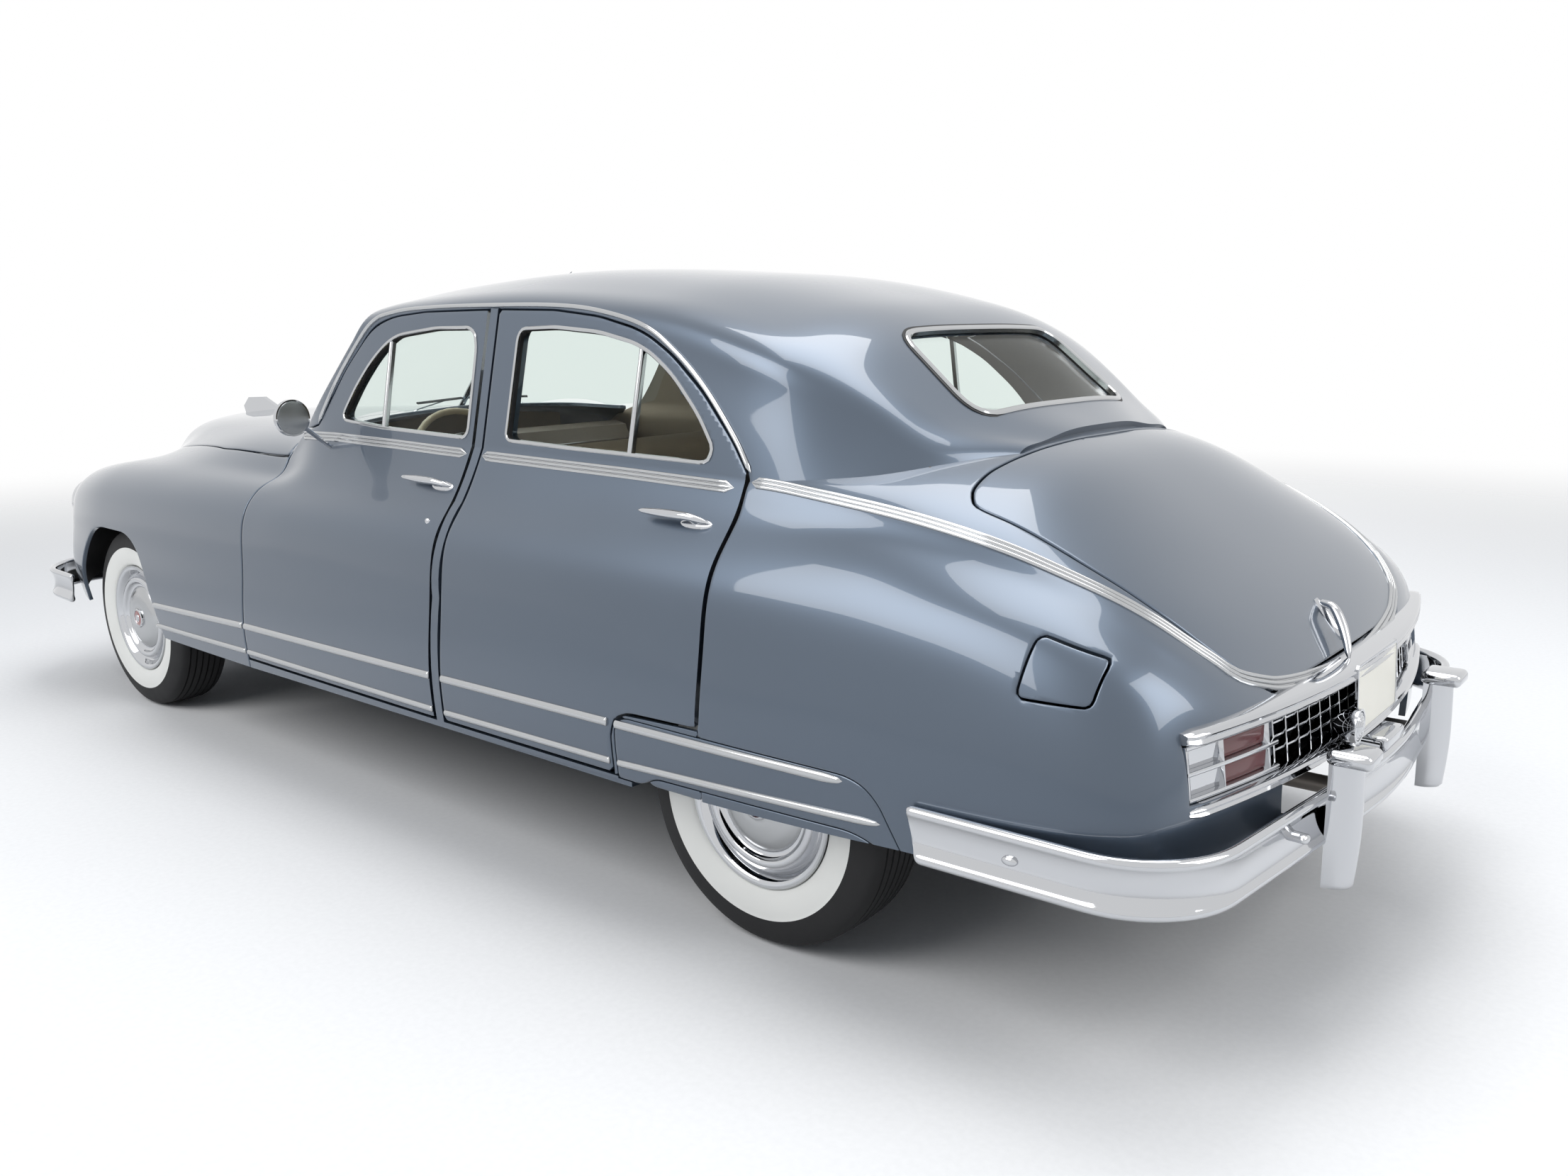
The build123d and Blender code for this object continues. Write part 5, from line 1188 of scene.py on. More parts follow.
for label, grip_x, level_z in (("front", (112, 330), 1024), ("rear", (1106, 1322), 1005)):
    x = np.linspace(*grip_x, 40)
    share = (x - x[0]) / (x[-1] - x[0])
    base, out = on_side(np.stack([x, level_z - 4 * share], axis=1))
    stand = 27 - 22 * np.clip((share - 0.72) / 0.28, 0, 1) ** 1.6
    radii = 3.0 + 10.5 * np.sin(np.pi * np.clip(share * 0.86 + 0.06, 0, 1)) ** 0.8
    radii *= np.sqrt(np.clip(share * 14, 0.02, 1)) * np.sqrt(np.clip((1 - share) * 12, 0.02, 1))
    grip = tapered(base + out * stand[:, None], radii, 0.85)
    pad_x = np.linspace(grip_x[1] - 92, grip_x[1] + 6, 24)
    pad, pad_out = on_side(np.stack([pad_x, 0 * pad_x + level_z - 5], axis=1))
    pad_size = np.sqrt(np.clip(1 - ((pad_x - pad_x.mean()) / 49.5) ** 2, 0.001, 1))
    plate = swept(pad, pad_out, half_round(31, 7, 2), np.stack([pad_size, pad_size], axis=1))
    stem_path = np.linspace(0, 1, 8)[:, None]
    foot, foot_out = on_side(np.array([(grip_x[1] - 40.0, level_z - 4.0)]))
    stem = swept(foot + foot_out * 26 * stem_path, np.broadcast_to((1.0, 0, 0), (8, 3)),
                 oval(14, 8, 0.4))
    made_points, made_faces = joined(grip, plate, stem)
    for side, sign in LEFT_AND_RIGHT:
        piece(f"handle_{label}_{side}", made_points * (1, sign, 1), made_faces,
              f"door_{label}_{side}", "chrome", [chrome])


def dome(radius, proud, steps=28):
    """A shallow round button about the Y axis, standing proud of nought."""
    angle = np.linspace(0, np.pi / 2, 7)
    profile = [(-4, 0), (-4, radius)] + [(proud * math.sin(a), radius * math.cos(a))
                                         for a in angle]
    return turned(profile, steps, closed=False)


lock_place, _ = on_side(np.array([(296.0, 927.0)]))
lock_points, lock_faces = dome(9.5, 5.0)
piece("door_lock", (lock_points + lock_place) * MIRRORED, lock_faces, "door_front_left",
      "chrome", [chrome])

# Bumpers: one pressed and plated bar at each end, a round bead along its top and bottom and
# a hollow face between them, wrapped round the corners and bolted to two irons.


def filleted(corners, radii, spacing):
    """A plan path through corners, each inner one rounded on an arc of its radius:
    setback = radius x tan(turn / 2)."""
    corners = np.asarray(corners, float)
    line = [corners[0]]
    for before, here, after, radius in zip(corners, corners[1:], corners[2:], radii):
        a = (before - here) / np.linalg.norm(before - here)
        b = (after - here) / np.linalg.norm(after - here)
        half = math.acos(np.clip(a @ b, -1, 1)) / 2
        middle = here + (a + b) / np.linalg.norm(a + b) * radius / math.sin(half)
        start, stop = (here + side * radius / math.tan(half) for side in (a, b))
        first = math.atan2(*(start - middle)[::-1])
        turn = math.remainder(math.atan2(*(stop - middle)[::-1]) - first, math.tau)
        angle = first + turn * np.linspace(0, 1, max(3, int(abs(turn) * radius / spacing)))
        line += list(middle + radius * np.stack([np.cos(angle), np.sin(angle)], axis=1))
    line.append(corners[-1])
    line = np.array(line)
    run = walked(line)
    at_run = np.linspace(0, run[-1], int(run[-1] / spacing))
    return np.stack([np.interp(at_run, run, column) for column in line.T], axis=1)


BEAD = 12.0
bead_angle = np.radians(np.linspace(200, -42, 15))
bead = np.stack([-2.0 + BEAD * np.cos(bead_angle), 47.5 + BEAD * np.sin(bead_angle)], axis=1)
scoop = rounded([bead[-1], (1.5, 27), (-2.5, 10), (-3.2, 0), (-2.5, -10), (1.5, -27),
                 bead[-1] * (1, -1)], 6)[1:-1]
BAR = [tuple(p) for p in bead] + [tuple(p) for p in scoop]
BAR += [tuple(p) for p in bead[::-1] * (1, -1)] + [(-9.5, -30), (-10.5, 0), (-9.5, 30)]
END_LEAN = 26.0


def bumper(name, corners, radii, level):
    """A bar along a plan path, its ends leaning and rounded off."""
    plan_path = filleted(corners, radii, 24)
    near = np.linspace(0, 1, 9)[:-1, None] ** 1.6
    head = plan_path[0] + (plan_path[1] - plan_path[0]) * near
    tail = plan_path[-1] + (plan_path[-2] - plan_path[-1]) * near
    plan_path = np.vstack([head, plan_path[1:-1], tail[::-1]])
    path = np.column_stack([plan_path, np.full(len(plan_path), level)])
    size = ends_rounded(path, 15)
    size = np.stack([0.25 + 0.75 * size[:, 0], 0.88 + 0.12 * size[:, 1]], axis=1)
    middle = path.mean(axis=0)
    ahead = np.gradient(path, axis=0)
    out = np.stack([ahead[:, 1], -ahead[:, 0], 0 * ahead[:, 0]], axis=1)
    out *= np.sign((out * (path - middle)).sum(axis=1))[:, None]
    points, faces = swept(path, out, BAR, size)
    run = walked(path)
    from_end = np.repeat(np.minimum(run, run[-1] - run), len(BAR))
    lean = END_LEAN * np.clip(1 - from_end / 160, 0, 1) * (level + 60 - points[:, 2]) / 120
    points[:, 0] += np.sign(middle[0]) * lean
    return piece(name, points, faces, "car", "chrome", [chrome])


REAR_LEVEL, FRONT_LEVEL = 452.0, 440.0
rear_bar = bumper("bumper_bar_rear", [(1962, -983), (2532, -968), (2628, 0), (2532, 968),
                                      (1962, 983)], [215, 2000, 215], REAR_LEVEL)
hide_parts("bumper_rear")
front_bar = bumper("bumper_bar_front", [(-2140, -952), (-2588, -930), (-2628, 0),
                                        (-2588, 930), (-2140, 952)], [290, 2000, 290],
                   FRONT_LEVEL)
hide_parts("bumper_front")


def boxy(low, high, bevel, segments=3):
    """A box of rounded edges between two corners, as points and faces."""
    shape = bmesh.new()
    bmesh.ops.create_cube(shape, size=1)
    size = np.subtract(high, low)
    for v in shape.verts:
        v.co = np.add(low, (np.array(v.co) + 0.5) * size)
    bmesh.ops.bevel(shape, geom=shape.edges[:], offset=bevel, segments=segments,
                    affect="EDGES", profile=0.5)
    shape.verts.index_update()
    found = (np.array([v.co[:] for v in shape.verts]),
             [[v.index for v in f.verts] for f in shape.faces])
    shape.free()
    return found


OVER_RIDER_Y, IRON_Y = 370.0, 410.0


def over_rider(sign, level, tip, inner):
    """An upright post whose rounded nose turns over the bar at its top like a T."""
    s = math.copysign(1, tip)
    side = rounded([(inner + 2 * s, level - 148), (tip - 34 * s, level - 148),
                    (tip - 26 * s, level - 120), (tip - 20 * s, level - 20),
                    (tip - 22 * s, level + 80), (tip - 24 * s, level + 124)], 12)
    heights = side[1:, 1]
    half = 31 + 3 * np.clip((heights - level) / 120, -1, 1)
    count, rows = 15, len(heights)
    angle = np.linspace(0, np.pi, count)
    rings = [np.stack([inner + s * abs(x - inner) * np.sin(angle) ** 0.72,
                       reach * np.cos(angle), np.full(count, z)], axis=1)
             for (x, z), reach in zip(side[1:], half)]
    points = np.array(rings).reshape(-1, 3)
    faces = [[i * count + k, i * count + (k + 1) % count, (i + 1) * count + (k + 1) % count,
              (i + 1) * count + k] for i in range(rows - 1) for k in range(count)]
    faces += [list(range(count)), list(range((rows - 1) * count, rows * count))[::-1]]
    cap = boxy((min(inner - 6, tip) if s > 0 else tip, -46, level + 117),
               (tip if s > 0 else max(inner + 6, tip), 46, level + 150), 14, 5)
    points, faces = joined((points, faces), cap)
    return points + (0, sign * OVER_RIDER_Y, 0), faces


for end, level, tip, inner in (("rear", REAR_LEVEL, 2678, 2594),
                               ("front", FRONT_LEVEL, -2678, -2594)):
    for side, sign in LEFT_AND_RIGHT:
        made_points, made_faces = over_rider(sign, level, tip, inner)
        piece(f"over_rider_{end}_{side}", made_points, made_faces, "car", "chrome", [chrome],
              sharp=45)
    x0, x1 = (2392, 2577) if end == "rear" else (-2599, -2432)
    z0, z1 = (400, 440) if end == "rear" else (370, 420)
    irons = [boxy((x0, y - 24, z0), (x1, y + 24, z1), 5, 2) for y in (-IRON_Y, IRON_Y)]
    piece(f"bumper_irons_{end}", *joined(*irons), "car", "frame_black", [frame_black])


def bolt(place, out):
    """An oval button head on a face that looks along out: 34 mm long, 20 high, 7.5 proud."""
    points, faces = dome(1.0, 1.0, 24)
    out = np.array(out, float) / np.linalg.norm(out)
    along = np.cross(out, (0, 0, 1))
    along /= np.linalg.norm(along)
    made = (np.array(place) + points[:, :1] * 17.0 * along + points[:, 1:2] * 7.5 * out
            + points[:, 2:] * 10.0 * np.array((0, 0, 1)))
    return made, faces


bolts = [bolt((x, sign * y, REAR_LEVEL), (out_x, sign * out_y, 0))
         for x, y, out_x, out_y in ((2194, 975.5, 0.03, 1), (2511, 842, 1, 0.55),
                                    (2597, 530, 1, 0.1))
         for sign in (-1, 1)]
piece("bumper_bolts_rear", *joined(*bolts), "car", "chrome", [chrome])

# Tail: a bowed egg-crate grille between square lamps, capped by a heavy bright bar above and
# a lighter one below, with a blank number plate, its lamp and a reversing lamp.


def tail_x(y, z, out):
    """X of the tail face moved out by out: its middle less y^2 / (2 x bow radius), leaning
    forwards as it rises."""
    return 2540.0 - y * y / (2 * 2949.0) + (690.0 - z) * 0.12 + out


def tail_bar(y0, y1, inner, outer, z0, z1, round_edge, spacing=24.0):
    """A bowed bar of rounded section between two Y values, two depths and two heights."""
    y = np.linspace(y0, y1, max(3, int((y1 - y0) / spacing)))
    middle_z = (z0 + z1) / 2
    path = np.column_stack([tail_x(y, middle_z, 0), y, np.full(len(y), middle_z)])
    half = (z1 - z0) / 2
    corner = np.linspace(0, np.pi / 2, 5)
    nose = [(outer - round_edge + round_edge * math.cos(a), half - round_edge
             + round_edge * math.sin(a)) for a in corner]
    section = [(inner, half)] + nose[::-1] + [(x, -z) for x, z in nose] + [(inner, -half)]
    return swept(path, np.broadcast_to((1.0, 0, 0), path.shape), section)


BAR_Z = {"top": (678, 710), "low": (540, 566)}
y = np.linspace(-790, 790, 80)
size = np.stack([1 - 0.35 * np.clip((abs(y) - 740) / 50, 0, 1) ** 3] * 2, axis=1)
for level, inner, outer in (("top", -40, 34), ("low", -20, 26)):
    z0, z1 = BAR_Z[level]
    middle_z = (z0 + z1) / 2
    path = np.column_stack([tail_x(y, middle_z, 0), y, np.full(len(y), middle_z)])
    half = (z1 - z0) / 2
    face = rounded([(outer - 16, half), (outer - 4, half - 3), (outer, half * 0.45),
                    (outer - 3.5, 0), (outer, -half * 0.45), (outer - 4, 3 - half),
                    (outer - 16, -half)], 3)
    section = [(inner, half)] + [tuple(p) for p in face] + [(inner, -half)]
    made_points, made_faces = swept(path, np.broadcast_to((1.0, 0, 0), path.shape), section, size)
    piece(f"tail_bar_{level}", made_points, made_faces, "car", "chrome", [chrome])

crate = []
for k in range(19):
    y_at = -475.5 + k * 951 / 18
    x0, x1 = tail_x(y_at, 626, -44), tail_x(y_at, 626, -4)
    upright = boxy((x0, y_at - 3, 561), (x1, y_at + 3, 683), 1.2, 1)
    upright[0][:, 0] += (626 - upright[0][:, 2]) * 0.12
    crate.append(upright)
for z in (597.0, 625.0, 653.0):
    crate.append(tail_bar(-478, 478, -46, -9, z - 2.5, z + 2.5, 1.5, 50))
piece("tail_crate", *joined(*crate), "car", "chrome", [chrome], sharp=40)
back_plate = tail_bar(-478, 478, -60, -54, 558, 692, 1.0, 60)
crate_back = piece("tail_crate_back", *back_plate, "car", "frame_black", [frame_black])
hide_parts("rear_grille")

lamp_red = finish("lamp_red", (0.09, 0.002, 0.004), 0.15, 0.0, size=30, patches=0.05, depth=0)
lamp_red.node_tree.nodes["Principled BSDF"].inputs["Coat Weight"].default_value = 0.2
LENS_INNER, LENS_OUTER = 517, 666
for side, sign in LEFT_AND_RIGHT:
    ends = (480, 778)
    frame_parts, lens_parts = [], []
    for z0, z1 in ((567, 577), (617, 627), (667, 677)):
        frame_parts.append(tail_bar(*ends, -34, 8, z0, z1, 3.5))
    frame_parts.append(tail_bar(480, LENS_INNER, -34, -22, 572, 672, 2))
    for y0, y1 in ((LENS_INNER - 8, LENS_INNER), (LENS_OUTER, LENS_OUTER + 5), (770, 780)):
        mid = (y0 + y1) / 2
        post = boxy((tail_x(mid, 622, -34), y0, 568), (tail_x(mid, 622, 7), y1, 676), 2.5, 2)
        post[0][:, 0] += (622 - post[0][:, 2]) * 0.12
        frame_parts.append(post)
    for z0, z1 in ((577, 617), (627, 667)):
        lens_parts.append(tail_bar(LENS_INNER - 1, LENS_OUTER + 1, -34, -1, z0 - 1, z1 + 1, 6))
    plated = joined(*(tail_bar(LENS_OUTER + 4, 771, -34, -3, z0 - 1, z1 + 1, 3)
                      for z0, z1 in ((577, 617), (627, 667))))
    flip = (1, sign, 1)
    frame_points, frame_faces = joined(*frame_parts)
    lens_points, lens_faces = joined(*lens_parts)
    made = piece(f"tail_lamp_frame_{side}", frame_points * flip, frame_faces, "car", "chrome",
                 [chrome], sharp=40)
    piece(f"tail_lamp_lens_{side}", lens_points * flip, lens_faces, "car", "lamp_red",
          [lamp_red])
    piece(f"tail_lamp_reflector_{side}", plated[0] * flip, plated[1], "car", "chrome",
          [chrome])
    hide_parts("tail_lamps")

plate_white = finish("plate_enamel", (0.78, 0.76, 0.68), 0.35, 0.0, size=12, patches=0.06)
plate_x = tail_x(0, 620, 22)
plate = boxy((plate_x, -152, 560), (plate_x + 2.5, 152, 712), 1.0, 1)
plate[0][:, 0] += (636 - plate[0][:, 2]) * 0.05
piece("number_plate_blank", *plate, "car", "dash", [plate_white])
rim = [(152, 76), (-152, 76), (-152, -76), (152, -76)]
rim_loop = even_loop(softened(rim, 10), 8.0)
rim_path = np.column_stack([plate_x + 2 - rim_loop[:, 1] * 0.05, rim_loop[:, 0],
                            636 + rim_loop[:, 1]])
piece("number_plate_rim", *swept(rim_path, np.broadcast_to((1.0, 0, 0), rim_path.shape),
                                 [(-4, -4), (2, -4), (3, 0), (2, 4), (-4, 4)], closed=True),
      "car", "chrome", [chrome])

lens_ribs = [(0, 0.1)] + [(18 * math.cos(r / 36 * 1.2) - 6 + (1.1 if k % 2 else 0), r)
                          for k, r in enumerate(range(3, 34, 3))]
reversing_lamp = turned_about_x([(-46, 0.1), (-44, 14), (-30, 30), (-8, 38), (6, 38), (6, 33)]
                                + lens_ribs[:0:-1] + [(12.5, 0.1)], 36,
                                (tail_x(-210, 600, 48), -210, 600))
piece("reversing_lamp", *reversing_lamp, "car", "chrome", [chrome])
piece("plate_lamp", *boxy((2548, -70, 508), (2622, 70, 540), 9, 4), "car", "chrome", [chrome])

# Trunk handle: a cast and plated grip on an arrow-shaped foot, screwed to the lid's bottom and
# standing over the moulding there.
FOOT_HALF = 20
share = np.linspace(0, 1, 26)
spine, out = on_deck(np.column_stack([2424 + 66 * share, 0 * share]))
foot_width = FOOT_HALF * np.sin(np.pi * np.clip(share * 0.93 + 0.07, 0, 1)) ** 0.7
base_plate = swept(spine, out, [(-2, -1), (5, -0.72), (9, -0.25), (10, 0), (9, 0.25),
                                (5, 0.72), (-2, 1)],
                   np.stack([0.4 + 0.6 * foot_width / FOOT_HALF, foot_width], axis=1))
grip_line = rounded([(2440, 0, deck_height(np.array([2440.0]), np.array([0.0]))[0] + 12),
                     (2470, -14, 806), (2496, -34, 775), (2517, -58, 738), (2529, -78, 706)], 8)
share = np.linspace(0, 1, len(grip_line))
grip_radius = 4.5 + 6.5 * np.sin(np.pi * (0.15 + 0.8 * share)) ** 0.9
grip_radius *= np.sqrt(np.clip((1 - share) * 9, 0.03, 1))
grip = swept(grip_line, np.broadcast_to((0.7, 0, 0.7), grip_line.shape),
             oval(1, 1, 0.35),
             np.stack([grip_radius, grip_radius], axis=1))
piece("trunk_handle", *joined(base_plate, grip), "trunk_lid", "chrome", [chrome])

# Aerial: a short telescopic rod in a plated foot at the middle of the windscreen's head,
# drawn at its pushed-down height.
mast_foot = np.array((-190.0, 0.0, float(roof_height(np.array([-190.0]), np.array([0.0]))[0])))
mast = [mast_foot + np.array((t * 95.0, 0, t * 48.0)) for t in np.linspace(0, 1, 8)]
mast_radius = np.array([3.2, 3.2, 3.2, 3.2, 2.0, 2.0, 2.0, 1.4])
rod = swept(np.array(mast), np.broadcast_to((0, 1.0, 0), (8, 3)),
            oval(1, 1),
            np.stack([mast_radius, mast_radius], axis=1))
knob = turned([(-6, 0.1), (-6, 15), (0, 14), (5, 9), (11, 6), (13, 0.1)], 24, closed=False)
knob = (knob[0][:, [0, 2, 1]] + mast_foot, knob[1].tolist())
piece("aerial", *joined(rod, knob), "car", "chrome", [chrome])

# Front end, out of the photograph's sight: plain plated crate grille, headlamps, a plain fin
# and a door mirror.
coat("side_frames", paint)
coat("front_grille", chrome)
coat("hood_ornament", chrome)
coat("mirror", chrome)
lamp_glass = finish("headlamp_glass", (0.80, 0.82, 0.84), 0.06, 0.55, size=40, patches=0.05,
                    depth=0.0008)
LAMP_FACE_X = -2536.0
HEADLAMP = [
    ("lens", "lamp_clear", lamp_glass, 48, False,
     [(26.0 * math.sqrt(1 - (r / 96.0) ** 2) - 4, max(r, 0.1)) for r in range(0, 86, 6)]),
    ("ring", "chrome", chrome, 64, True,
     [(-34, 99.5), (2, 99.5), (9, 97), (13, 92), (12, 87), (7, 84), (-20, 84), (-34, 90)]),
    ("bucket", "paint", paint, 64, True,
     [(-150, 99.3), (-26, 99.3), (-22, 97), (-30, 92), (-150, 92)]),
]
for side, sign in LEFT_AND_RIGHT:
    lamp_at = (LAMP_FACE_X, sign * LAMP_AT[0], LAMP_AT[1])
    for label, slot, material, steps, closed, profile in HEADLAMP:
        points, faces = turned_about_x(profile, steps, closed=closed)
        made = piece(f"headlamp_{label}_{side}", points * (-1, 1, 1) + lamp_at, faces, "car",
                     slot, [material])
        if label == "lens":
            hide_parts("headlamps")
mirror_points, mirror_faces = dome(51, 0.6, 40)
piece("mirror_glass", mirror_points[:, [1, 0, 2]] * (0.5, 1, 1) + (-348.6, -925, 1193),
      mirror_faces, "door_front_left", "lamp_clear", [silver])

# Windscreen: a bright bar over the joint of the two flat panes, and two parked wiper arms.
panes = np.array([v.co[:] for v in bpy.data.objects["windshield"].data.vertices]) / MM
near_middle = panes[np.abs(panes[:, 1]) < 20.0]
upper_half = near_middle[near_middle[:, 2] > near_middle[:, 2].mean()]
bar_foot, bar_head = (group[group[:, 0].argmin()] * (1, 0, 1)
                      for group in (near_middle, upper_half))
bar_path = bar_foot + (bar_head - bar_foot) * np.linspace(-0.01, 1.01, 10)[:, None]
bar_points, bar_faces = swept(bar_path, np.broadcast_to((-1.0, 0, 0.6), bar_path.shape),
                              [(-3, -13), (4, -11), (8, -5), (9, 0), (8, 5), (4, 11), (-3, 13)])
piece("windscreen_bar", bar_points, bar_faces, "car", "chrome", [stainless])
screen_up = (bar_head - bar_foot) / np.linalg.norm(bar_head - bar_foot)
for side, sign in LEFT_AND_RIGHT:
    outer = panes[(panes[:, 1] * sign > 300) & (panes[:, 2] < panes[:, 2].min() + 90)]
    corner = outer[outer[:, 0].argmin()]
    across = corner - bar_foot
    across = across / np.linalg.norm(across)
    screen_out = np.cross(across, screen_up)
    screen_out = screen_out / np.linalg.norm(screen_out) * np.sign(-screen_out[0])
    pivot = bar_foot + across * 250 - screen_up * 10 + screen_out * 14
    tip = bar_foot + across * 70 + screen_up * 32 + screen_out * 12
    arm_path = pivot + (tip - pivot) * np.linspace(0, 1, 8)[:, None]
    arm = swept(arm_path, np.broadcast_to(screen_out, arm_path.shape),
                oval(2.4, 3.4, 0.7))
    blade_path = tip + across * np.linspace(-62, 190, 14)[:, None] - screen_out * 4
    blade = swept(blade_path, np.broadcast_to(screen_out, blade_path.shape),
                  [(5, -2), (5, 2), (1, 3), (-5, 0.8), (-5, -0.8), (1, -3)])
    cap_points, cap_faces = dome(11, 8, 24)
    cap_points = cap_points @ np.stack([across, screen_out, screen_up]) + pivot - screen_out * 8
    piece(f"wiper_arm_{side}", *joined(arm, (cap_points, cap_faces.tolist())), "car", "chrome",
          [chrome])
    piece(f"wiper_blade_{side}", *blade, "car", "tyre", [rubber_seal])

# Floor coverings: brown pile carpet laid over the steel floor and its tunnel in one piece, from
# the fire wall to the rear seat.
carpet = finish("brown_carpet", (0.085, 0.066, 0.052), 0.95, size=90, patches=0.35, grain=0.6,
                depth=0.003)
coat("floor_pan", frame_black)


CARPET_THICK = 5.0


def draped(name, x0, x1, section):
    """A carpet between two X values whose edges follow (y, z) points of a section."""
    line = rounded(section, 24)
    x = np.arange(x0, x1 + 1, 60.0)
    top = spread(x, np.broadcast_to(line, (len(x), *line.shape)))
    top[:, :, 2] += 0.8 * np.sin(top[:, :, 0] / 37.0) * np.sin(top[:, :, 1] / 43.0)
    under = top - (0, 0, CARPET_THICK)
    rows, columns = top.shape[:2]
    index = np.arange(rows * columns).reshape(rows, columns)
    faces = np.stack([index[:-1, :-1], index[1:, :-1], index[1:, 1:], index[:-1, 1:]],
                     axis=-1).reshape(-1, 4)
    shift = rows * columns
    rim = np.concatenate([index[0], index[1:, -1], index[-1, -2::-1], index[-2:0:-1, 0]])
    side = np.stack([rim, np.roll(rim, -1), np.roll(rim, -1) + shift, rim + shift], axis=-1)
    every = np.vstack([faces, faces[:, ::-1] + shift, side])
    return piece(name, np.vstack([top.reshape(-1, 3), under.reshape(-1, 3)]), every, "car",
                 "fabric", [carpet])


draped("carpet_front", -470, 840,
       [(-800, 380), (-170, 380), (-110, 384), (-74, 412), (-56, 420), (0, 421), (56, 420),
        (74, 412), (110, 384), (170, 380), (800, 380)])

# Seats: two sprung benches in ribbed tan cloth with piped edges. Each cushion and back is padded
# and stands on low frames covered in dark cloth, screwed to the floor.
tan_cloth = finish("tan_cloth", (0.34, 0.265, 0.185), 0.88, size=110, patches=0.18, grain=0.5,
                   depth=0.0016)
dark_cloth = finish("seat_back_cloth", (0.13, 0.105, 0.085), 0.9, size=110, patches=0.2,
                    grain=0.5, depth=0.0016)
piping = finish("seat_piping", (0.24, 0.18, 0.12), 0.6, size=60, patches=0.1, depth=0.0002)


CUSHION_SPACING = 16.0
CUSHION_CROWN, FLUTE_WIDTH = 14, 92
GATHER = np.pi / 2 * 0.92


def cushion(half, radius):
    """A padded slab about nought: a rounded box, crowned as the root of (1 - u^2)(1 - v^2) on
    its broad face, with shallow flutes across its width."""
    half = np.asarray(half, float)
    points, faces, count = [], [], 0
    for axis in range(3):
        a, b = (axis + 1) % 3, (axis + 2) % 3
        us, vs = (np.linspace(-1, 1, max(8, int(2 * half[c] / CUSHION_SPACING)))
                  for c in (a, b))
        us = np.sin(us * GATHER) / math.sin(GATHER)
        for sign in (-1, 1):
            grid = np.zeros((len(us), len(vs), 3))
            grid[:, :, axis] = sign
            grid[:, :, a] = us[:, None]
            grid[:, :, b] = vs[None, :]
            points.append(grid.reshape(-1, 3))
            index = count + np.arange(len(us) * len(vs)).reshape(len(us), len(vs))
            faces.append(np.stack([index[:-1, :-1], index[1:, :-1], index[1:, 1:],
                                   index[:-1, 1:]], axis=-1).reshape(-1, 4)[:, ::sign])
            count += len(us) * len(vs)
    unit = np.vstack(points)
    at = unit * half
    core = np.clip(at, -(half - radius), half - radius)
    off = at - core
    reach = np.linalg.norm(off, axis=1, keepdims=True)
    at = core + off / np.maximum(reach, 1e-9) * np.minimum(reach, radius)
    bulge = (1 - unit[:, 0] ** 2) * (1 - unit[:, 1] ** 2)
    face = np.clip((unit[:, 2] - 0.6) / 0.4, 0, 1)
    ribs = np.abs(np.cos(np.pi * at[:, 1] / FLUTE_WIDTH)) ** 0.5 - 1
    inner = np.prod(np.clip((1 - np.abs(unit[:, :2])) * (6, 12), 0, 1), axis=1)
    at[:, 2] += face * (CUSHION_CROWN * np.sqrt(np.maximum(bulge, 0)) + 7 * ribs * inner)
    return at, np.vstack(faces)


PIPING_INSET = 16.0


def laid(points, origin, along, up):
    """Cushion points carried to origin with their first axis along, their third up."""
    across = np.array((0.0, 1.0, 0.0))
    return (np.asarray(origin) + points[:, :1] * along + points[:, 1:2] * across
            + points[:, 2:] * up)


def bench(label, middle, slope, cushion_half, back_middle, lean, back_half, replaced):
    """One bench seat: a cushion sloping back and a leaning back rest, each piped."""
    for name, origin, tilt, half in (("cushion", middle, slope, cushion_half),
                                     ("back", back_middle, math.pi / 2 - lean, back_half)):
        along = np.array((math.cos(tilt), 0, math.sin(tilt)))
        up = np.array((-math.sin(tilt), 0, math.cos(tilt)))
        points, faces = cushion(half, min(half[2] * 0.8, 55))
        made = piece(f"seat_{label}_{name}", laid(points, origin, along, up), faces, "car",
                     "fabric", [tan_cloth], sharp=60)
        if name == "cushion":
            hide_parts(replaced)
        length, width, thickness = np.array(half) - PIPING_INSET
        edge = even_loop(softened([(length, width), (-length, width), (-length, -width),
                                   (length, -width)], 40), 14)
        seam = laid(np.column_stack([edge, np.full(len(edge), thickness)]), origin, along, up)
        pipe = swept(seam, np.broadcast_to(up, seam.shape),
                     oval(4.2, 4.2, 0.7), closed=True)
        piece(f"seat_{label}_{name}_piping", *pipe, "car", "fabric", [piping])


bench("front", (180, 0, 585), math.radians(-4), (240, 694, 75), (478, 0, 865),
      math.radians(13), (262, 694, 58), "front_seat")
bench("rear", (1095, 0, 652), math.radians(-3), (232, 586, 60), (1396, 0, 900),
      math.radians(17), (240, 586, 56), "rear_seat")
seat_bases = joined(boxy((-30, -680, 384), (400, -122, 520), 14, 3),
                    boxy((-30, 122, 384), (400, 680, 520), 14, 3),
                    boxy((880, -575, 616), (1300, 575, 622), 2, 1))
piece("seat_bases", *seat_bases, "car", "fabric", [dark_cloth])

# Parcel shelf: a board behind the rear seat, under the rear window, trimmed in the same dark
# cloth.
piece("parcel_shelf", *boxy((1470, -610, 1128), (1770, 610, 1140), 5, 2), "car", "fabric",
      [dark_cloth])

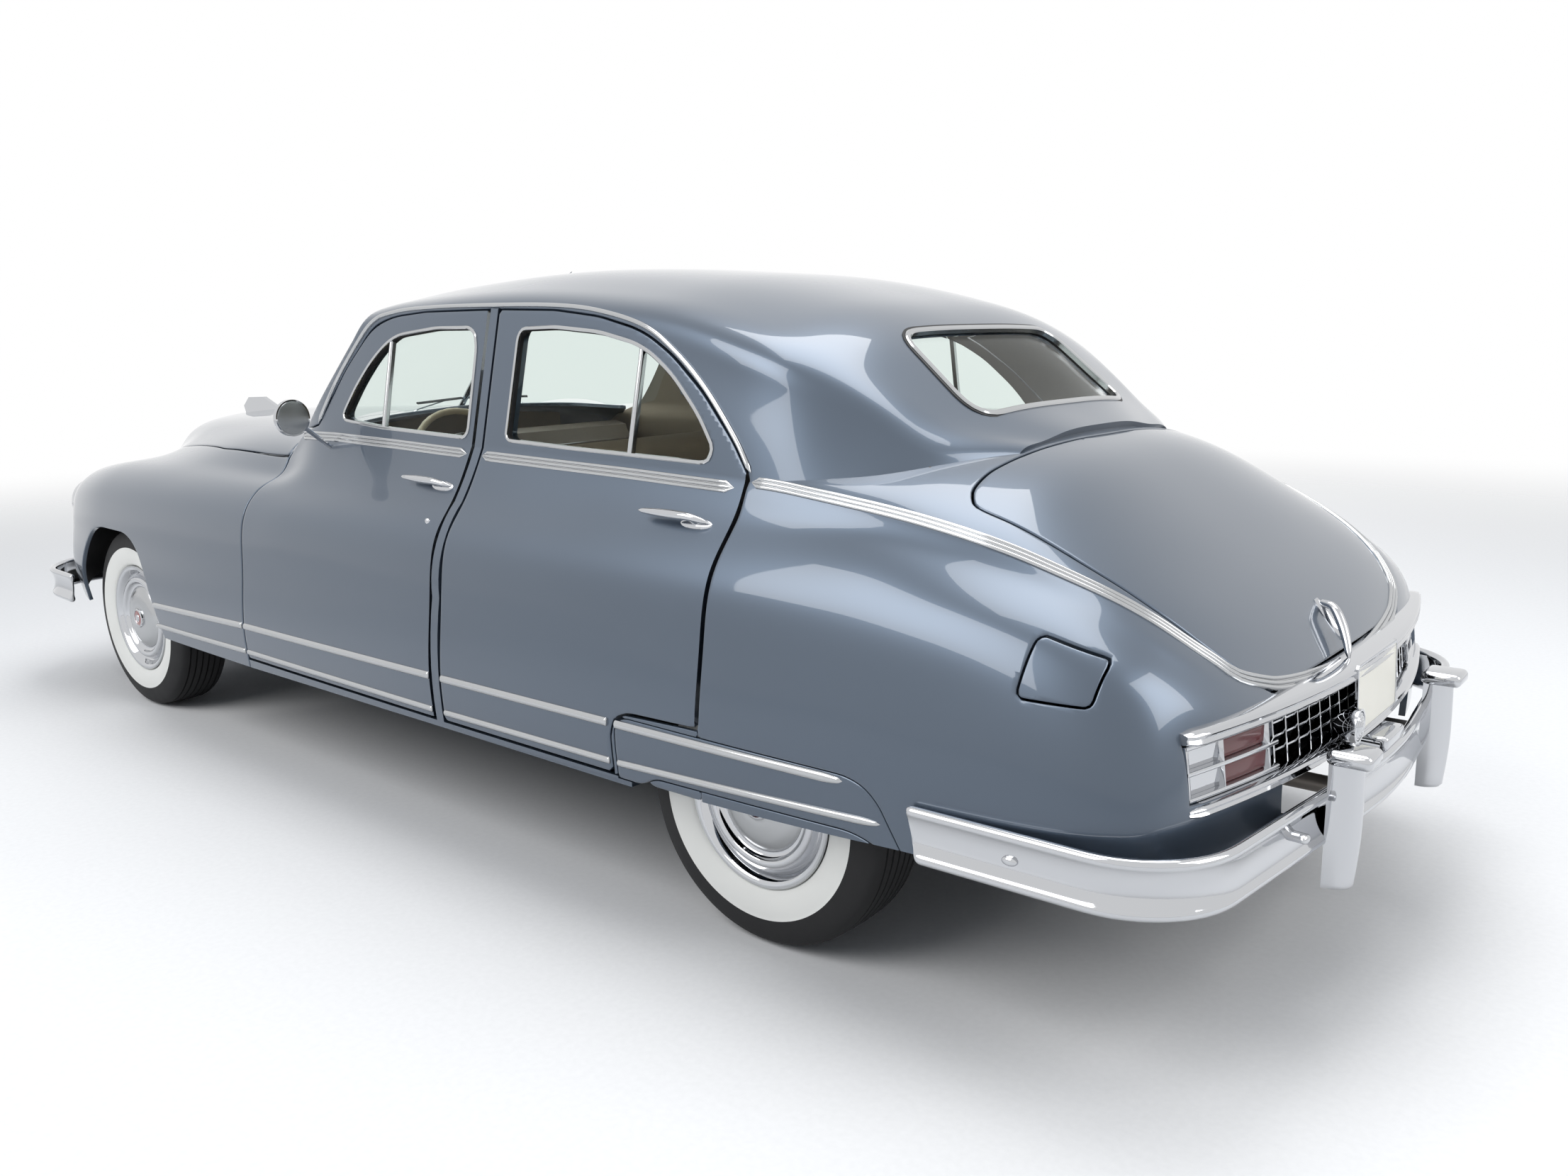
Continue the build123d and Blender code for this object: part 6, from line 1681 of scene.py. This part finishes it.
# Dashboard: a painted steel panel with two plain round dials, a bright strip, knobs on their
# rods and a glove door.
dash_paint = finish("dash_paint", (0.16, 0.135, 0.11), 0.35, 0.2, size=10, patches=0.1)
coat("dashboard", dash_paint)
dial_face = finish("dial_face", (0.62, 0.58, 0.47), 0.4, size=20, patches=0.08)
DIALS = [((-515.0, -440, 972.0), 58), ((-515.0, -300, 972.0), 46)]
bright_parts = [turned_about_x([(-3, radius), (6, radius), (8, radius - 4), (4, radius - 8),
                                (-3, radius - 8)], 40, at, closed=True) for at, radius in DIALS]
bright_parts += [turned_about_x([(-2, 0.1), (-2, 5), (14, 5), (16, 11), (24, 12), (27, 8),
                                 (28, 0.1)], 20, (-528.0, y_at, 918))
                 for y_at in range(-140, 111, 50)]
bright_parts += [boxy((-516, -628, 1004), (-508, 628, 1012), 3, 2),
                 boxy((-534, 230, 872), (-528, 560, 876), 2, 1)]
dial_parts = [turned_about_x([(-2, 0.1), (1, 0.1), (1, radius - 7), (-2, radius - 7)], 40, at)
              for at, radius in DIALS]
piece("dash_brightwork", *joined(*bright_parts), "car", "chrome", [chrome])
piece("dash_dials", *joined(*dial_parts), "car", "dash", [dial_face])

# Steering wheel: a cream rim moulded on three spokes, with a bright horn ring. It turns on a
# steel shaft that runs down to the fire wall.
cream = finish("cream_plastic", (0.66, 0.57, 0.40), 0.28, size=20, patches=0.08, depth=0.0001)
HUB = np.array((-210.0, -370.0, 990.0))
WHEEL_AXIS = np.array((0.848, 0.0, 0.530))
WHEEL_RIGHT = np.array((0.0, 1.0, 0.0))
WHEEL_FRAME = np.stack([WHEEL_AXIS, WHEEL_RIGHT, np.cross(WHEEL_AXIS, WHEEL_RIGHT)])


def on_wheel(points, faces):
    """Points of (out along the axis, right, up) laid at the steering wheel's hub."""
    return HUB + points @ WHEEL_FRAME, faces


def ring_of(radius, tube, out_at, steps=96, wave=0.0):
    """A ring about the steering axis; wave gives it finger grips round the inside."""
    angle = np.linspace(0, 2 * np.pi, steps, endpoint=False)
    path = np.stack([np.full(steps, out_at), radius * np.cos(angle), radius * np.sin(angle)], 1)
    around = np.linspace(0, 2 * np.pi, 14, endpoint=False)
    size = 1 - wave * 0.5 * (1 + np.cos(angle * 36))
    outward = np.stack([np.zeros(steps), np.cos(angle), np.sin(angle)], axis=1)
    return on_wheel(*swept(path, outward,
                           [(tube * math.cos(a), tube * math.sin(a)) for a in around],
                           np.stack([size, np.ones(steps)], axis=1), closed=True))


wheel_parts = [ring_of(215, 11.5, 18, 144, 0.10)]
for angle in (np.radians(8), np.radians(172), np.radians(270)):
    reach = np.linspace(30, 212, 12)
    path = np.stack([np.interp(reach, [30, 120, 212], [-2, 4, 17]), reach * math.cos(angle),
                     reach * math.sin(angle)], axis=1)
    width = np.interp(reach, [30, 110, 212], [15, 9, 12])
    wheel_parts.append(on_wheel(*swept(path, np.broadcast_to((1.0, 0, 0), path.shape),
                                       oval(0.45, 1, 0.45), np.stack([width, width], axis=1))))
wheel_parts.append(on_wheel(*turned_about_x([(-34, 0.1), (-34, 30), (-20, 38), (-4, 42), (6, 38),
                                             (9, 30), (9, 0.1)], 40)))
wheel_made = piece("steering_wheel_rim", *joined(*wheel_parts), "steering_wheel", "bakelite",
                   [cream])
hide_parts("steering_wheel")
horn = [ring_of(128, 4.2, 16),
        on_wheel(*turned_about_x([(4, 0.1), (8, 27), (14, 24), (18, 14), (19, 0.1)], 36))]
for angle in (np.radians(8), np.radians(172)):
    reach = np.linspace(24, 128, 8)
    path = np.stack([np.full(8, 12.0), reach * math.cos(angle), reach * math.sin(angle)], axis=1)
    horn.append(on_wheel(*swept(path, np.broadcast_to((1.0, 0, 0), path.shape),
                                oval(3.4, 5))))
piece("horn_ring", *joined(*horn), "steering_wheel", "chrome", [chrome])
shaft = turned_about_x([(-560, 0.1), (-560, 11), (-20, 11), (-20, 0.1)], 20)
piece("steering_shaft", *on_wheel(*shaft), "steering_wheel", "chrome", [silver])
